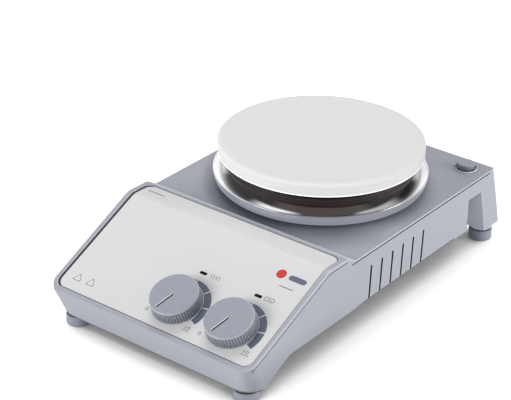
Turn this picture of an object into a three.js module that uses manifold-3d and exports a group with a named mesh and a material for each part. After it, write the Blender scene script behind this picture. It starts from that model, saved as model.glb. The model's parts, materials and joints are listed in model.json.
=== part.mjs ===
// Analog hotplate magnetic stirrer, modelled as an assembly of separate parts.
// Millimetres, +Z up, X to the right, front towards -Y.
// Origin: middle of the footprint, on the bench.
import * as THREE from "three";
import { mergeVertices } from "three/addons/utils/BufferGeometryUtils.js";
import Module from "manifold-3d";

const wasm = await Module();
wasm.setup();

// ---------------------------------------------------------------- shared dimensions
const HALF = 80; // half the housing width at its top edges
const TOP_Z = 57.2; // flat top of the housing
const WALL = 2.6; // casting wall
const SKIRT_Z = 21.4; // lower edge of the side walls
const CHIN_Z = 8; // lower edge of the front wall
const LEG_Z = 10.7; // underside of the rear legs
const LEG_IN = 62; // inner face of the rear legs
const REAR_Y = 124.2; // rear wall where it meets the top
const REAR_LEAN = 0.3312; // the rear wall moves back this much per millimetre down
const SIDE_TAPER = 0.0435; // the side walls move in this much per millimetre down

const PANEL_Y0 = -136.2; // lower edge of the control overlay
const PANEL_Z0 = 28.7;
const BEND_Y = -62.9; // where the sloping panel turns into its flat top strip
const BEND_Z = 62.1;
const PANEL_Y1 = -46.7; // rear edge of the overlay
const PANEL_Z1 = 61.6;
const OVERLAY_HALF = 75.8;
const OVERLAY_R = 5.5; // corner radius of the overlay

// On the panel, x runs across and u up the slope.
const KNOB_U = 21.0;
const KNOB_X = [7.1, 49.2];
const LAMP_U = 46.6;
const LAMP_X = [8, 50];
const LAMP_W = 5;
const LAMP_H = 1.8;

const FRONT_FOOT = [66.8, -125.6];
const REAR_FOOT = [69.8, 129.0];
const COVER_SCREWS = [[-68, -84], [68, -84], [-68, 60], [68, 60]];
const MOTOR_SCREWS = [[-25, 15], [25, 84]];
const ROD = [64.5, 112]; // support rod socket

const PLATE_Y = 36; // centre of the hotplate and the motor
const PLATE_AXIS = [0, PLATE_Y];
const CABLE = [-38, 52]; // where the heater cable passes through the top
const CABLE_HOLE_R = 3;

// ---------------------------------------------------------------- finishes
const LOOKS = {
  housing: { color: 0xaeb5c0, roughness: 0.42, metalness: 0 },
  base: { color: 0x8f959e, roughness: 0.5, metalness: 0.2 },
  overlay: { color: 0xe2e3e1, roughness: 0.5, metalness: 0 },
  lamp: { color: 0x15171a, roughness: 0.2, metalness: 0 },
  enamel: { color: 0xebebea, roughness: 0.3, metalness: 0 },
  polished: { color: 0xc9c7c4, roughness: 0.12, metalness: 1 },
  mica: { color: 0x4a2f2a, roughness: 0.6, metalness: 0 },
  heater: { color: 0x3a3634, roughness: 0.6, metalness: 0.3 },
  steel: { color: 0x9a9da1, roughness: 0.35, metalness: 0.9 },
  knob: { color: 0x9aa1ad, roughness: 0.45, metalness: 0 },
  rubber: { color: 0x6e7480, roughness: 0.8, metalness: 0 },
  black: { color: 0x1c1d1f, roughness: 0.45, metalness: 0 },
  board: { color: 0x1f5a3a, roughness: 0.5, metalness: 0 },
  copper: { color: 0x9a5a2c, roughness: 0.4, metalness: 0.6 },
  brass: { color: 0xb99a55, roughness: 0.3, metalness: 0.9 },
  silicone: { color: 0xb04a35, roughness: 0.6, metalness: 0 },
  fan: { color: 0x2a2c30, roughness: 0.5, metalness: 0 },
};
const finish = Object.fromEntries(
  Object.entries(LOOKS).map(([name, look]) => [name, new THREE.MeshStandardMaterial(look)]),
);

// ---------------------------------------------------------------- helpers
// Points are [x, y] pairs and extents are [low, high] pairs throughout.
const vector = (x, y, z) => new THREE.Vector3(x, y, z);
const DEG = Math.PI / 180;
const around = (centre, half) => [centre - half, centre + half];
const grown = ([low, high], gap) => [low - gap, high + gap];
const join = (...list) => list.reduce((a, b) => a.add(b));
const cut = (body, ...tools) => tools.reduce((rest, tool) => rest.subtract(tool), body);

// Welds a closed geometry into a manifold, turning it outside out if it is inverted.
function solid(geometry, matrix) {
  const loose = geometry.index ? geometry.toNonIndexed() : geometry;
  const bare = new THREE.BufferGeometry();
  bare.setAttribute("position", loose.getAttribute("position").clone());
  if (matrix) bare.applyMatrix4(matrix);
  const welded = mergeVertices(bare, 1e-4);
  const position = welded.attributes.position;
  const triangles = new Uint32Array(welded.index.array);
  const corner = (i) => vector().fromBufferAttribute(position, triangles[i]);
  let volume = 0;
  for (let i = 0; i < triangles.length; i += 3)
    volume += corner(i).dot(corner(i + 1).cross(corner(i + 2)));
  if (volume < 0) {
    for (let i = 0; i < triangles.length; i += 3)
      [triangles[i + 1], triangles[i + 2]] = [triangles[i + 2], triangles[i + 1]];
  }
  return new wasm.Manifold(
    new wasm.Mesh({
      numProp: 3,
      vertProperties: new Float32Array(position.array),
      triVerts: triangles,
    }),
  );
}

function geometryOf(manifold) {
  const { numVert, numProp, vertProperties, triVerts } = manifold.getMesh();
  const positions = new Float32Array(numVert * 3);
  for (let i = 0; i < numVert; i++)
    positions.set(vertProperties.subarray(i * numProp, i * numProp + 3), i * 3);
  const geometry = new THREE.BufferGeometry();
  geometry.setAttribute("position", new THREE.BufferAttribute(positions, 3));
  geometry.setIndex(new THREE.BufferAttribute(new Uint32Array(triVerts), 1));
  geometry.computeVertexNormals();
  return geometry;
}

const shapeOf = (points) => new THREE.Shape(points.map(([x, y]) => new THREE.Vector2(x, y)));

// Plan outline [x, y] raised over an extent in z.
function prismZ(points, [z0, z1]) {
  const geometry = new THREE.ExtrudeGeometry(shapeOf(points), {
    depth: z1 - z0,
    bevelEnabled: false,
    steps: 1,
    curveSegments: 1,
  });
  geometry.translate(0, 0, z0);
  return solid(geometry);
}

// Side outline [y, z] run over an extent in x, with its end edges rounded by `round`.
function prismX(points, [x0, x1], round = 0) {
  const bevel = {
    bevelEnabled: true,
    bevelThickness: round,
    bevelSize: round,
    bevelOffset: -round,
    bevelSegments: 2,
  };
  const geometry = new THREE.ExtrudeGeometry(shapeOf(points), {
    depth: x1 - x0 - 2 * round,
    steps: 1,
    curveSegments: 1,
    ...(round ? bevel : { bevelEnabled: false }),
  });
  geometry.translate(0, 0, x0 + round);
  const yzToSide = new THREE.Matrix4();
  yzToSide.makeBasis(vector(0, 1, 0), vector(0, 0, 1), vector(1, 0, 0));
  geometry.applyMatrix4(yzToSide);
  return solid(geometry);
}

function box([x0, x1], [y0, y1], [z0, z1], matrix) {
  const geometry = new THREE.BoxGeometry(x1 - x0, y1 - y0, z1 - z0);
  geometry.translate((x0 + x1) / 2, (y0 + y1) / 2, (z0 + z1) / 2);
  return solid(geometry, matrix);
}

function cylinder(radius, [x, y], [z0, z1], segments = 24, matrix) {
  const geometry = new THREE.CylinderGeometry(radius, radius, z1 - z0, segments);
  geometry.rotateX(Math.PI / 2);
  geometry.translate(x, y, (z0 + z1) / 2);
  return solid(geometry, matrix);
}

// Profile [r, z] turned about a vertical axis.
function turned(profile, segments, [x, y] = [0, 0]) {
  const points = profile.map(([radius, z]) => new THREE.Vector2(radius, z));
  const geometry = new THREE.LatheGeometry(points, segments);
  geometry.rotateX(Math.PI / 2);
  geometry.translate(x, y, 0);
  return solid(geometry);
}

const tube = (inner, outer, [z0, z1], segments, axis) =>
  turned([[inner, z0], [outer, z0], [outer, z1], [inner, z1], [inner, z0]], segments, axis);

// Plan rectangle centred on x = 0, with separate radii for its front and rear corners.
function roundedRect(half, [front, rear], frontR, rearR, segments = 5) {
  const corners = [
    [half - rearR, rear - rearR, rearR],
    [-half + rearR, rear - rearR, rearR],
    [-half + frontR, front + frontR, frontR],
    [half - frontR, front + frontR, frontR],
  ];
  return corners.flatMap(([x, y, radius], quarter) =>
    Array.from({ length: segments + 1 }, (_, i) => {
      const angle = (90 * quarter + (90 * i) / segments) * DEG;
      return [x + radius * Math.cos(angle), y + radius * Math.sin(angle)];
    }),
  );
}

// Stack of plan outlines { z, points } with equal point counts, closed by flat ends.
function loft(stack) {
  const rings = stack.map(({ z, points }) => points.map(([x, y]) => [x, y, z]));
  const count = rings[0].length;
  const positions = [];
  const triangle = (a, b, c) => positions.push(...a, ...b, ...c);
  for (let level = 0; level + 1 < rings.length; level++) {
    const [low, high] = [rings[level], rings[level + 1]];
    for (let i = 0; i < count; i++) {
      const j = (i + 1) % count;
      triangle(low[i], low[j], high[j]);
      triangle(low[i], high[j], high[i]);
    }
  }
  const cap = (ring, facesDown) => {
    const centre = [0, 1, 2].map((axis) => ring.reduce((sum, p) => sum + p[axis], 0) / count);
    for (let i = 0; i < count; i++) {
      const j = (i + 1) % count;
      if (facesDown) triangle(centre, ring[j], ring[i]);
      else triangle(centre, ring[i], ring[j]);
    }
  };
  cap(rings[0], true);
  cap(rings[rings.length - 1], false);
  const geometry = new THREE.BufferGeometry();
  geometry.setAttribute("position", new THREE.BufferAttribute(new Float32Array(positions), 3));
  return solid(geometry);
}

// Cross recess for a screw head.
const crossSlot = ([x, y], halfLength, halfWidth, z) => [
  box(around(x, halfLength), around(y, halfWidth), z),
  box(around(x, halfWidth), around(y, halfLength), z),
];

const stirrer = new THREE.Group();
function put(name, manifold, material, parent = stirrer) {
  const mesh = new THREE.Mesh(geometryOf(manifold), material);
  mesh.name = name;
  parent.add(mesh);
  return mesh;
}

// ---------------------------------------------------------------- reference frames
// Panel frame: x across, y up the slope, z out of the panel, origin at the overlay's lower edge.
const PANEL_TILT = Math.atan2(BEND_Z - PANEL_Z0, BEND_Y - PANEL_Y0);
const panel = new THREE.Group();
panel.position.set(0, PANEL_Y0, PANEL_Z0);
panel.rotation.x = PANEL_TILT;
stirrer.add(panel);
panel.updateMatrixWorld(true);
const ON_PANEL = panel.matrixWorld.clone();

// The [y, z] point lifted off the panel slope, square to it, from where the slope passes y.
const offSlope = (y, lift) => [
  y - Math.sin(PANEL_TILT) * lift,
  PANEL_Z0 + (y - PANEL_Y0) * Math.tan(PANEL_TILT) + Math.cos(PANEL_TILT) * lift,
];

// Rear wall and side walls at a height.
const backY = (z) => REAR_Y + (TOP_Z - z) * REAR_LEAN;
const halfX = (z) => HALF - Math.max(0, TOP_Z - z) * SIDE_TAPER;

// Rear frame: x to the right seen from behind, y up the wall, z out of the wall.
const REAR_FRAME_Z = 38;
const leanLength = Math.hypot(1, REAR_LEAN);
const ON_REAR = new THREE.Matrix4().makeBasis(
  vector(-1, 0, 0),
  vector(0, -REAR_LEAN / leanLength, 1 / leanLength),
  vector(0, 1 / leanLength, REAR_LEAN / leanLength),
);
ON_REAR.setPosition(0, backY(REAR_FRAME_Z), REAR_FRAME_Z);
const rear = new THREE.Group();
rear.position.setFromMatrixPosition(ON_REAR);
rear.quaternion.setFromRotationMatrix(ON_REAR);
stirrer.add(rear);

// Bodies of the mains inlet and the switch, in a frame ENTRY_Y up from the rear frame.
const ENTRY_Y = 3;
const ON_ENTRY = ON_REAR.clone().multiply(new THREE.Matrix4().makeTranslation(0, ENTRY_Y, 0));
const INLET_X = 33;
const SWITCH_X = -30;
const INLET_BODY = { x: around(INLET_X, 14), y: [-14, 12] };
const SWITCH_BODY = { x: around(SWITCH_X, 7), y: [-10.5, 9.5] };

// ---------------------------------------------------------------- housing body
const RIM_H = 0.4; // the frame stands this much above the overlay
const RECESS_D = 0.9; // floor of the overlay's recess under the overlay's face
const RECESS_GAP = 0.5; // gap round the overlay
const TOP_EDGE_R = 0.8; // rounding of the long side edges
const PAST_Y = 160; // safely behind the housing

// Outline of the whole housing seen from the side: y, z.
const SIDE_OUTLINE = [
  [-133.5, CHIN_Z],
  [-139.2, 25.3],
  [-139.6, 26.8],
  [-139.3, 27.6],
  offSlope(PANEL_Y0 - 2.7, RIM_H),
  offSlope(BEND_Y - 3.2, RIM_H),
  [BEND_Y - 0.6, BEND_Z + 0.22],
  [BEND_Y + 3.0, BEND_Z + 0.34],
  [PANEL_Y1 + 1.8, PANEL_Z1 + 0.4],
  [PANEL_Y1 + 2.9, PANEL_Z1 + 0.05],
  [-36.6, TOP_Z + 0.35],
  [-35.4, TOP_Z],
  [REAR_Y - 1.5, TOP_Z],
  [REAR_Y - 0.3, TOP_Z - 0.35],
  [backY(TOP_Z - 1.6), TOP_Z - 1.6],
  [backY(SKIRT_Z), SKIRT_Z],
  [-98.4, SKIRT_Z],
  [-101.4, 20.2],
  [-104.6, 18.7],
  [-113.6, 14.2],
  [-121.5, 9.6],
  [-124.6, CHIN_Z],
];

// Plan outlines of the housing and its cavity: z, front y, front corner radius.
const HULL_RINGS = [
  [0, -130.9, 15.5],
  [CHIN_Z, -133.5, 13.5],
  [26, -139.6, 8],
  [TOP_Z, -139.7, 8],
  [TOP_Z + 12, -139.7, 8],
];
const CAVITY_RINGS = [
  [-5, -129.3, 14],
  [CHIN_Z, -133.5, 12.4],
  [26, -139.6, 5.4],
  [TOP_Z, -139.7, 5.4],
  [TOP_Z + 12, -139.7, 5.4],
];
const planLoft = (rings, inset, rearR) =>
  loft(
    rings.map(([z, front, frontR]) => ({
      z,
      points: roundedRect(halfX(z) - inset, [front + inset, backY(z) - inset], frontR, rearR, 6),
    })),
  );
const hull = planLoft(HULL_RINGS, 0, 2.2);

// Inside face of the panel, top strip and top wall: y, z.
const PANEL_INSIDE = RECESS_D + 2.2; // inside face of the panel wall under the overlay's face
const INSIDE_OUTLINE = [
  [-150, -6],
  [-150, 20],
  offSlope(-150, -PANEL_INSIDE),
  offSlope(BEND_Y - 0.7, -PANEL_INSIDE),
  [PANEL_Y1 + 1.0, PANEL_Z1 - PANEL_INSIDE],
  [-38.2, TOP_Z - WALL],
  [PAST_Y, TOP_Z - WALL],
  [PAST_Y, -6],
];

// Hand scoop at the rear of each side: the wall curves in, in front of the leg.
const SCOOP_TOP = 45.2;
// Plan line of the right scoop, from where the wall starts to curve in: x, y.
const SCOOP_LINE = [
  [80, 78], [79.8, 84], [79.2, 90], [78, 95.5], [75.8, 100],
  [72.6, 103.6], [68.5, 106.3], [64, 107.8], [62, 108.2],
];

// The scoop line moved towards the inside of the housing.
const scoopLine = (offset) =>
  SCOOP_LINE.map(([x, y], i) => {
    if (i === 0) return [x - offset, y];
    if (i === SCOOP_LINE.length - 1) return [x - offset, y - offset];
    const [x0, y0] = SCOOP_LINE[i - 1];
    const [x1, y1] = SCOOP_LINE[i + 1];
    const length = Math.hypot(x1 - x0, y1 - y0);
    return [x - (offset * (y1 - y0)) / length, y + (offset * (x1 - x0)) / length];
  });

// Material outside the scoop line on both sides, from the line back to `end`.
function scoops(offset, end) {
  const right = [
    [90, SCOOP_LINE[0][1]],
    ...scoopLine(offset),
    [LEG_IN - offset, end],
    [90, end],
  ];
  const left = right.map(([x, y]) => [-x, y]).reverse();
  const extent = [-10, SCOOP_TOP + offset];
  return join(prismZ(right, extent), prismZ(left, extent));
}

function rearLegs() {
  const outline = [[108.9, 48.2], [120.1, LEG_Z], [150, LEG_Z], [150, 48.2]];
  return join(prismX(outline, [LEG_IN, 90]), prismX(outline, [-90, -LEG_IN])).intersect(hull);
}

function hollowBody() {
  const block = prismX(SIDE_OUTLINE, [-HALF, HALF], TOP_EDGE_R).intersect(hull);
  const cavity = cut(
    prismX(INSIDE_OUTLINE, [-HALF, HALF]).intersect(planLoft(CAVITY_RINGS, WALL, 2)),
    scoops(WALL, PAST_Y),
  );
  return cut(join(cut(block, scoops(0, 121)), rearLegs()), cavity);
}

// ---------------------------------------------------------------- housing bosses and recess
const BOSS_TOP = 55; // bosses under the top run up into its wall
const COLLAR_R = 8.2; // raised collar round the rod socket
const COLLAR_Z = 57.9;

const bosses = () => [
  ...[1, -1].map((side) =>
    cylinder(8.3, [side * FRONT_FOOT[0], FRONT_FOOT[1]], [CHIN_Z + 0.2, 23]).intersect(hull),
  ),
  ...COVER_SCREWS.map(([x, y]) => cylinder(4, [x, y], [23.2, y < 0 ? 49.5 : BOSS_TOP], 16)),
  ...MOTOR_SCREWS.map((place) => cylinder(3.6, place, [49.3, BOSS_TOP], 16)),
  cylinder(9, ROD, [46, BOSS_TOP], 20).intersect(hull),
];

// The collar stands in a narrow ring groove.
const withCollar = (body) =>
  join(
    cut(body, cylinder(COLLAR_R + 0.5, ROD, [TOP_Z - 0.6, 70], 32)),
    cylinder(COLLAR_R, ROD, [54, COLLAR_Z], 32),
  );

// Everything above a surface `drop` under the overlay's face, clipped to a plan outline.
function abovePanel(drop) {
  const stripSlope = (PANEL_Z1 - BEND_Z) / (PANEL_Y1 - BEND_Y);
  const [bendY, bendZ] = offSlope(BEND_Y, -drop);
  return [
    offSlope(-150, -drop),
    [bendY + 0.2 * drop, bendZ + 0.04 * drop],
    [-30, PANEL_Z1 - stripSlope * (PANEL_Y1 + 30) - drop],
    [-30, 90],
    [-150, 90],
  ];
}
const overlayPlan = (gap) => {
  const radius = OVERLAY_R + gap;
  const outline = roundedRect(OVERLAY_HALF + gap, grown([PANEL_Y0, PANEL_Y1], gap), radius, radius);
  return prismZ(outline, [0, 95]);
};
const overlayRecess = () =>
  prismX(abovePanel(RECESS_D), [-HALF, HALF]).intersect(overlayPlan(RECESS_GAP));

// ---------------------------------------------------------------- housing openings
const SLOT_Y0 = -18.1; // first vent slot
const SLOT_PITCH = 11.6;
const SLOT_COUNT = 6;
const SLOT_W = 1.8;
const SLOT_Z = [10, 46.4]; // starts below the skirt, so the slots are open downwards
const OPENING_R = 28; // hole in the housing top over the magnets
const PANEL_CUT_Z = [-12, 6]; // reaches through the panel wall and the rear wall

// Fine style grooves along the top edge and round the panel frame: y, z.
const EDGE_GROOVE = [[-40, 55.75], [118.8, 55.75]];
const SLOPE_GROOVE = [[-134.2, 27.3], [-110, 38.35], [-64.3, 59.2]];
const STRIP_GROOVE = [[-64.3, 59.2], [-61.3, 60.25], [-45.2, 60.0]];

// Extent in x from an inner distance to just outside a side wall.
const sideExtent = (side, inner) => (side > 0 ? [inner, 82] : [-82, -inner]);

function groove(line, width, side, inner) {
  const upper = line.map(([y, z]) => [y, z + width / 2]);
  const lower = line.map(([y, z]) => [y, z - width / 2]).reverse();
  return prismX([...upper, ...lower], sideExtent(side, inner));
}

function sideOpenings() {
  const tools = [];
  for (let i = 0; i < SLOT_COUNT; i++) {
    const y = SLOT_Y0 + SLOT_PITCH * i;
    for (const side of [-1, 1])
      tools.push(box(sideExtent(side, 74), around(y, SLOT_W / 2), SLOT_Z));
  }
  for (const side of [-1, 1]) {
    tools.push(
      groove(EDGE_GROOVE, 0.8, side, 79.35),
      groove(SLOPE_GROOVE, 0.7, side, 78.55),
      groove(STRIP_GROOVE, 0.6, side, 79.35),
    );
  }
  return tools;
}

const topOpenings = () => [
  cylinder(OPENING_R, PLATE_AXIS, [50, 70], 48),
  cylinder(CABLE_HOLE_R, CABLE, [50, 70], 16),
  cylinder(6.3, ROD, [47.2, 70], 20),
  cylinder(7.2, ROD, [56.3, 70], 28),
];

const lampBlock = (x, gap, z, matrix) =>
  box(around(x, LAMP_W / 2 + gap), around(LAMP_U, LAMP_H / 2 + gap), z, matrix);

const panelOpenings = () => [
  ...KNOB_X.map((x) => cylinder(4.8, [x, KNOB_U], PANEL_CUT_Z, 20, ON_PANEL)),
  ...LAMP_X.map((x) => lampBlock(x, 0.5, PANEL_CUT_Z, ON_PANEL)),
];

const rearOpenings = () =>
  [INLET_BODY, SWITCH_BODY].map(({ x, y }) =>
    box(grown(x, 0.3), grown(y, 0.3), PANEL_CUT_Z, ON_ENTRY),
  );

const screwHoles = () => [
  ...[-1, 1].flatMap((side) => [
    cylinder(2.0, [side * FRONT_FOOT[0], FRONT_FOOT[1]], [0, 21], 12),
    cylinder(2.0, [side * REAR_FOOT[0], REAR_FOOT[1]], [0, 26], 12),
  ]),
  ...COVER_SCREWS.map((place) => cylinder(1.6, place, [20, 36], 12)),
  ...MOTOR_SCREWS.map((place) => cylinder(1.6, place, [45, 54.2], 12)),
];

put(
  "upper_housing",
  cut(
    withCollar(join(hollowBody(), ...bosses())),
    overlayRecess(),
    ...sideOpenings(),
    ...topOpenings(),
    ...panelOpenings(),
    ...rearOpenings(),
    ...screwHoles(),
  ),
  finish.housing,
);

// ---------------------------------------------------------------- base cover
const COVER_HALF = 74.2;
const COVER_LEG_X = LEG_IN - WALL - 0.6; // cover edge beside the legs
const COVER_REAR_Y = 132.4;
const BOARD = { x: [-58, 58], y: [-78, -14], z: [26.4, 28] }; // power board
const BOARD_POSTS = BOARD.x.flatMap((x) =>
  BOARD.y.map((y) => [x - 5 * Math.sign(x), y === BOARD.y[0] ? y + 5 : y - 5]),
);
const COVER_VENTS = 7;
const COVER_VENT_PITCH = 6;

// Sheet seen from the side, rising from the chin to the skirt: y, z.
const COVER_PROFILE = [
  [-131, 9.2], [-125.5, 9.2], [-101, 21.5], [133, 21.5],
  [133, 23], [-101.6, 23], [-126.1, 10.7], [-131, 10.7],
];

// Right edge of the cover, following the scoop just inside its wall.
function coverScoopEdge() {
  const line = scoopLine(WALL + 0.5);
  const first = line.findIndex(([x]) => x < COVER_HALF);
  const [x0, y0] = line[first - 1];
  const [x1, y1] = line[first];
  return [
    [COVER_HALF, y0 + ((y1 - y0) * (x0 - COVER_HALF)) / (x0 - x1)],
    ...line.slice(first, -1),
    [COVER_LEG_X, line[line.length - 1][1]],
  ];
}

function coverPlan() {
  const front = roundedRect(COVER_HALF, [-130.2, 0], 12.2, 0.1, 6).filter(([, y]) => y < -10);
  const right = [...coverScoopEdge(), [COVER_LEG_X, COVER_REAR_Y]];
  const left = right.map(([x, y]) => [-x, y]).reverse();
  return [...front, ...right, ...left];
}

function baseCover() {
  const sheet = prismX(COVER_PROFILE, [-76, 76]).intersect(prismZ(coverPlan(), [0, 30]));
  const vents = Array.from({ length: COVER_VENTS }, (_, i) => {
    const y = 18 + i * COVER_VENT_PITCH;
    return box([-20, 20], [y, y + 2.5], [15, 30]);
  });
  return cut(
    join(sheet, ...BOARD_POSTS.map((place) => cylinder(3, place, [22, 26.2], 12))),
    ...vents,
    ...[1, -1].map((side) => cylinder(9.0, [side * FRONT_FOOT[0], FRONT_FOOT[1]], [0, 30])),
    ...COVER_SCREWS.map((place) => cylinder(1.8, place, [15, 30], 12)),
  );
}
put("base_cover", baseCover(), finish.base);

const COVER_SCREW_PROFILE = [[0, 20], [3.1, 20], [3.1, 21.3], [1.45, 21.3], [1.45, 34], [0, 35]];
COVER_SCREWS.forEach((place, i) => {
  const screw = turned(COVER_SCREW_PROFILE, 12, place);
  put(
    "cover_screw_" + (i + 1),
    cut(screw, ...crossSlot(place, 1.9, 0.35, [19, 20.7])),
    finish.steel,
  );
});

// ---------------------------------------------------------------- feet
const FOOT_R = 7.9;
const FOOT_H = 6; // height of the wide part
const REAR_FOOT_TOP = LEG_Z - 0.2;
const FOOT_SCREW_PROFILE = [[0, 0.9], [3.7, 0.9], [3.7, 2.9], [1.9, 2.9], [1.9, 19], [0, 19.6]];

// name, side, [x, y], top of the foot
const FEET = [
  ["front_left", -1, FRONT_FOOT, CHIN_Z],
  ["front_right", 1, FRONT_FOOT, CHIN_Z],
  ["rear_left", -1, REAR_FOOT, REAR_FOOT_TOP],
  ["rear_right", 1, REAR_FOOT, REAR_FOOT_TOP],
];
const footProfile = (top) => [
  [2.3, 3.2], [4.2, 3.2], [4.2, 0], [7.2, 0],
  [FOOT_R, 1.0], [FOOT_R, FOOT_H - 0.6], [FOOT_R - 0.6, FOOT_H],
  [6.3, FOOT_H], [6.2, top], [2.3, top], [2.3, 3.2],
];
for (const [name, side, [x, y], top] of FEET) {
  const place = [side * x, y];
  put("foot_" + name, turned(footProfile(top), 24, place), finish.rubber);
  const screw = turned(FOOT_SCREW_PROFILE, 12, place);
  put(
    "foot_screw_" + name,
    cut(screw, ...crossSlot(place, 2.2, 0.4, [0, 1.9])),
    finish.steel,
  );
}

// ---------------------------------------------------------------- control overlay and lamps
const OVERLAY_T = 0.6;

function controlOverlay() {
  const sheet = cut(
    prismX(abovePanel(OVERLAY_T), [-HALF, HALF]),
    prismX(abovePanel(0), grown([-HALF, HALF], 1)),
  ).intersect(overlayPlan(0));
  return cut(
    sheet,
    ...KNOB_X.map((x) => cylinder(5.2, [x, KNOB_U], [-5, 5], 20, ON_PANEL)),
    ...LAMP_X.map((x) => lampBlock(x, 0.2, [-5, 5], ON_PANEL)),
  );
}
put("control_overlay", controlOverlay(), finish.overlay);

// Each window has a wider flange behind the panel.
const lampWindow = (x) =>
  join(lampBlock(x, 0, [-4.2, 0.05]), box(around(x, 3.6), around(LAMP_U, 2), [-5.6, -3.9]));
["heat_lamp_window", "stir_lamp_window"].forEach((name, i) =>
  put(name, lampWindow(LAMP_X[i]), finish.lamp, panel),
);

// ---------------------------------------------------------------- knobs and controls
const KNOB_R = 15.9;
const KNOB_TOP = 9.2; // knob face above the panel
const KNOB_BASE = 0.6;
const KNOB_SHAFT_R = 3.0;
const POINTER_DEG = 252; // direction at the off stop, counter-clockwise from the panel's +X

function knobBody() {
  const bore = KNOB_SHAFT_R + 0.06;
  const profile = [
    [0, KNOB_TOP], [KNOB_R - 1.5, KNOB_TOP], [KNOB_R - 0.9, KNOB_TOP - 0.25],
    [KNOB_R - 0.5, KNOB_TOP - 0.9], [KNOB_R + 0.3, KNOB_BASE + 0.2], [KNOB_R + 0.1, KNOB_BASE],
    [13.2, KNOB_BASE], [13.2, 6.4], [5.4, 6.4], [5.4, 2.9], [bore, 2.9], [bore, 7.0], [0, 7.0],
  ];
  const turn = new THREE.Matrix4().makeRotationZ(POINTER_DEG * DEG);
  const pointer = box([1.0, KNOB_R - 1.9], [-0.4, 0.4], [KNOB_TOP - 0.8, KNOB_TOP + 2], turn);
  return cut(turned(profile, 40), pointer);
}

const knobShaft = () =>
  turned(
    [[0, -12], [2.6, -12], [2.6, -8.8], [KNOB_SHAFT_R, -8.8], [KNOB_SHAFT_R, 6.8], [0, 6.8]],
    20,
  );

const POTENTIOMETER_PROFILE = [
  [2.75, -12.6], [8.6, -12.6], [8.6, -3.6], [4.4, -3.6], [4.4, 2.4],
  [3.12, 2.4], [3.12, -9.0], [2.75, -9.0], [2.75, -12.6],
];

const hexNut = () => cut(cylinder(6.2, [0, 0], [0.3, 2.0], 6), cylinder(4.5, [0, 0], [0, 4], 20));

["heat", "speed"].forEach((name, i) => {
  const meshes = [
    put(name + "_knob", knobBody(), finish.knob, panel),
    put(name + "_shaft", knobShaft(), finish.steel, panel),
    put(name + "_potentiometer", turned(POTENTIOMETER_PROFILE, 24), finish.black, panel),
    put(name + "_nut", hexNut(), finish.steel, panel),
  ];
  for (const mesh of meshes) mesh.position.set(KNOB_X[i], KNOB_U, 0);
});

// Board with two components and a block behind each lamp window.
const PARTS_Z = -14.3; // sunk a little into the board
put(
  "control_board",
  join(
    box([-22, 58], [8, 54], [-15.8, -14.2]),
    box([-19, -10], [20, 40], [PARTS_Z, -7.5]),
    box([22, 34], [30, 38], [PARTS_Z, -10]),
    ...LAMP_X.map((x) => box(around(x, 2.2), around(LAMP_U, 1.4), [PARTS_Z, -6.4])),
  ),
  finish.board,
  panel,
);

// ---------------------------------------------------------------- hotplate stack
const PLATE_R = 67.5; // work plate, 135 mm across
const PLATE_TOP = 88;
const PLATE_BOTTOM = 79.6;
const HEATER_R = 60;
const HEATER_Z = [76.1, 79.3];
const INSULATION_R = 62;
const INSULATION_Z = [70.7, 75.8];
const DISH_R = 71.9; // rim of the drip dish
const DISH_RIM_Z = 67.6;
const STANDOFF_CIRCLE_R = 36.5; // circle of the three pillars that carry the plate
const STANDOFF_R = 3.5;
const STANDOFFS = [90, 210, 330].map((angle) => [
  STANDOFF_CIRCLE_R * Math.cos(angle * DEG),
  PLATE_Y + STANDOFF_CIRCLE_R * Math.sin(angle * DEG),
]);
const standoffHoles = () =>
  STANDOFFS.map((place) => cylinder(STANDOFF_R + 0.7, place, [50, 79.9], 16));

function workPlate() {
  const profile = [
    [0, PLATE_BOTTOM], [PLATE_R - 0.7, PLATE_BOTTOM], [PLATE_R, PLATE_BOTTOM + 0.7],
    [PLATE_R, PLATE_TOP - 1.3], [PLATE_R - 0.35, PLATE_TOP - 0.5],
    [PLATE_R - 1.1, PLATE_TOP - 0.1], [PLATE_R - 2, PLATE_TOP], [0, PLATE_TOP],
  ];
  const sensorHole = cylinder(1.8, PLATE_AXIS, [70, 84.6], 12);
  return cut(turned(profile, 72, PLATE_AXIS), sensorHole);
}
put("work_plate", workPlate(), finish.enamel);

function heaterDisc() {
  const [z0, z1] = HEATER_Z;
  return cut(
    turned([[0, z0], [HEATER_R, z0], [HEATER_R, z1], [0, z1]], 48, PLATE_AXIS),
    ...standoffHoles(),
    cylinder(2.0, PLATE_AXIS, [70, 84], 12),
  );
}
put("heater_disc", heaterDisc(), finish.heater);

function insulationDisc() {
  const [z0, z1] = INSULATION_Z;
  const chamfer = 0.4;
  const profile = [
    [0, z0], [INSULATION_R - chamfer, z0], [INSULATION_R, z0 + chamfer],
    [INSULATION_R, z1 - chamfer], [INSULATION_R - chamfer, z1], [0, z1],
  ];
  return cut(
    turned(profile, 48, PLATE_AXIS),
    ...standoffHoles(),
    cylinder(2.0, PLATE_AXIS, [65, 84], 12),
    cylinder(CABLE_HOLE_R, CABLE, [65, 84], 16),
  );
}
put("insulation_disc", insulationDisc(), finish.mica);

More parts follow.
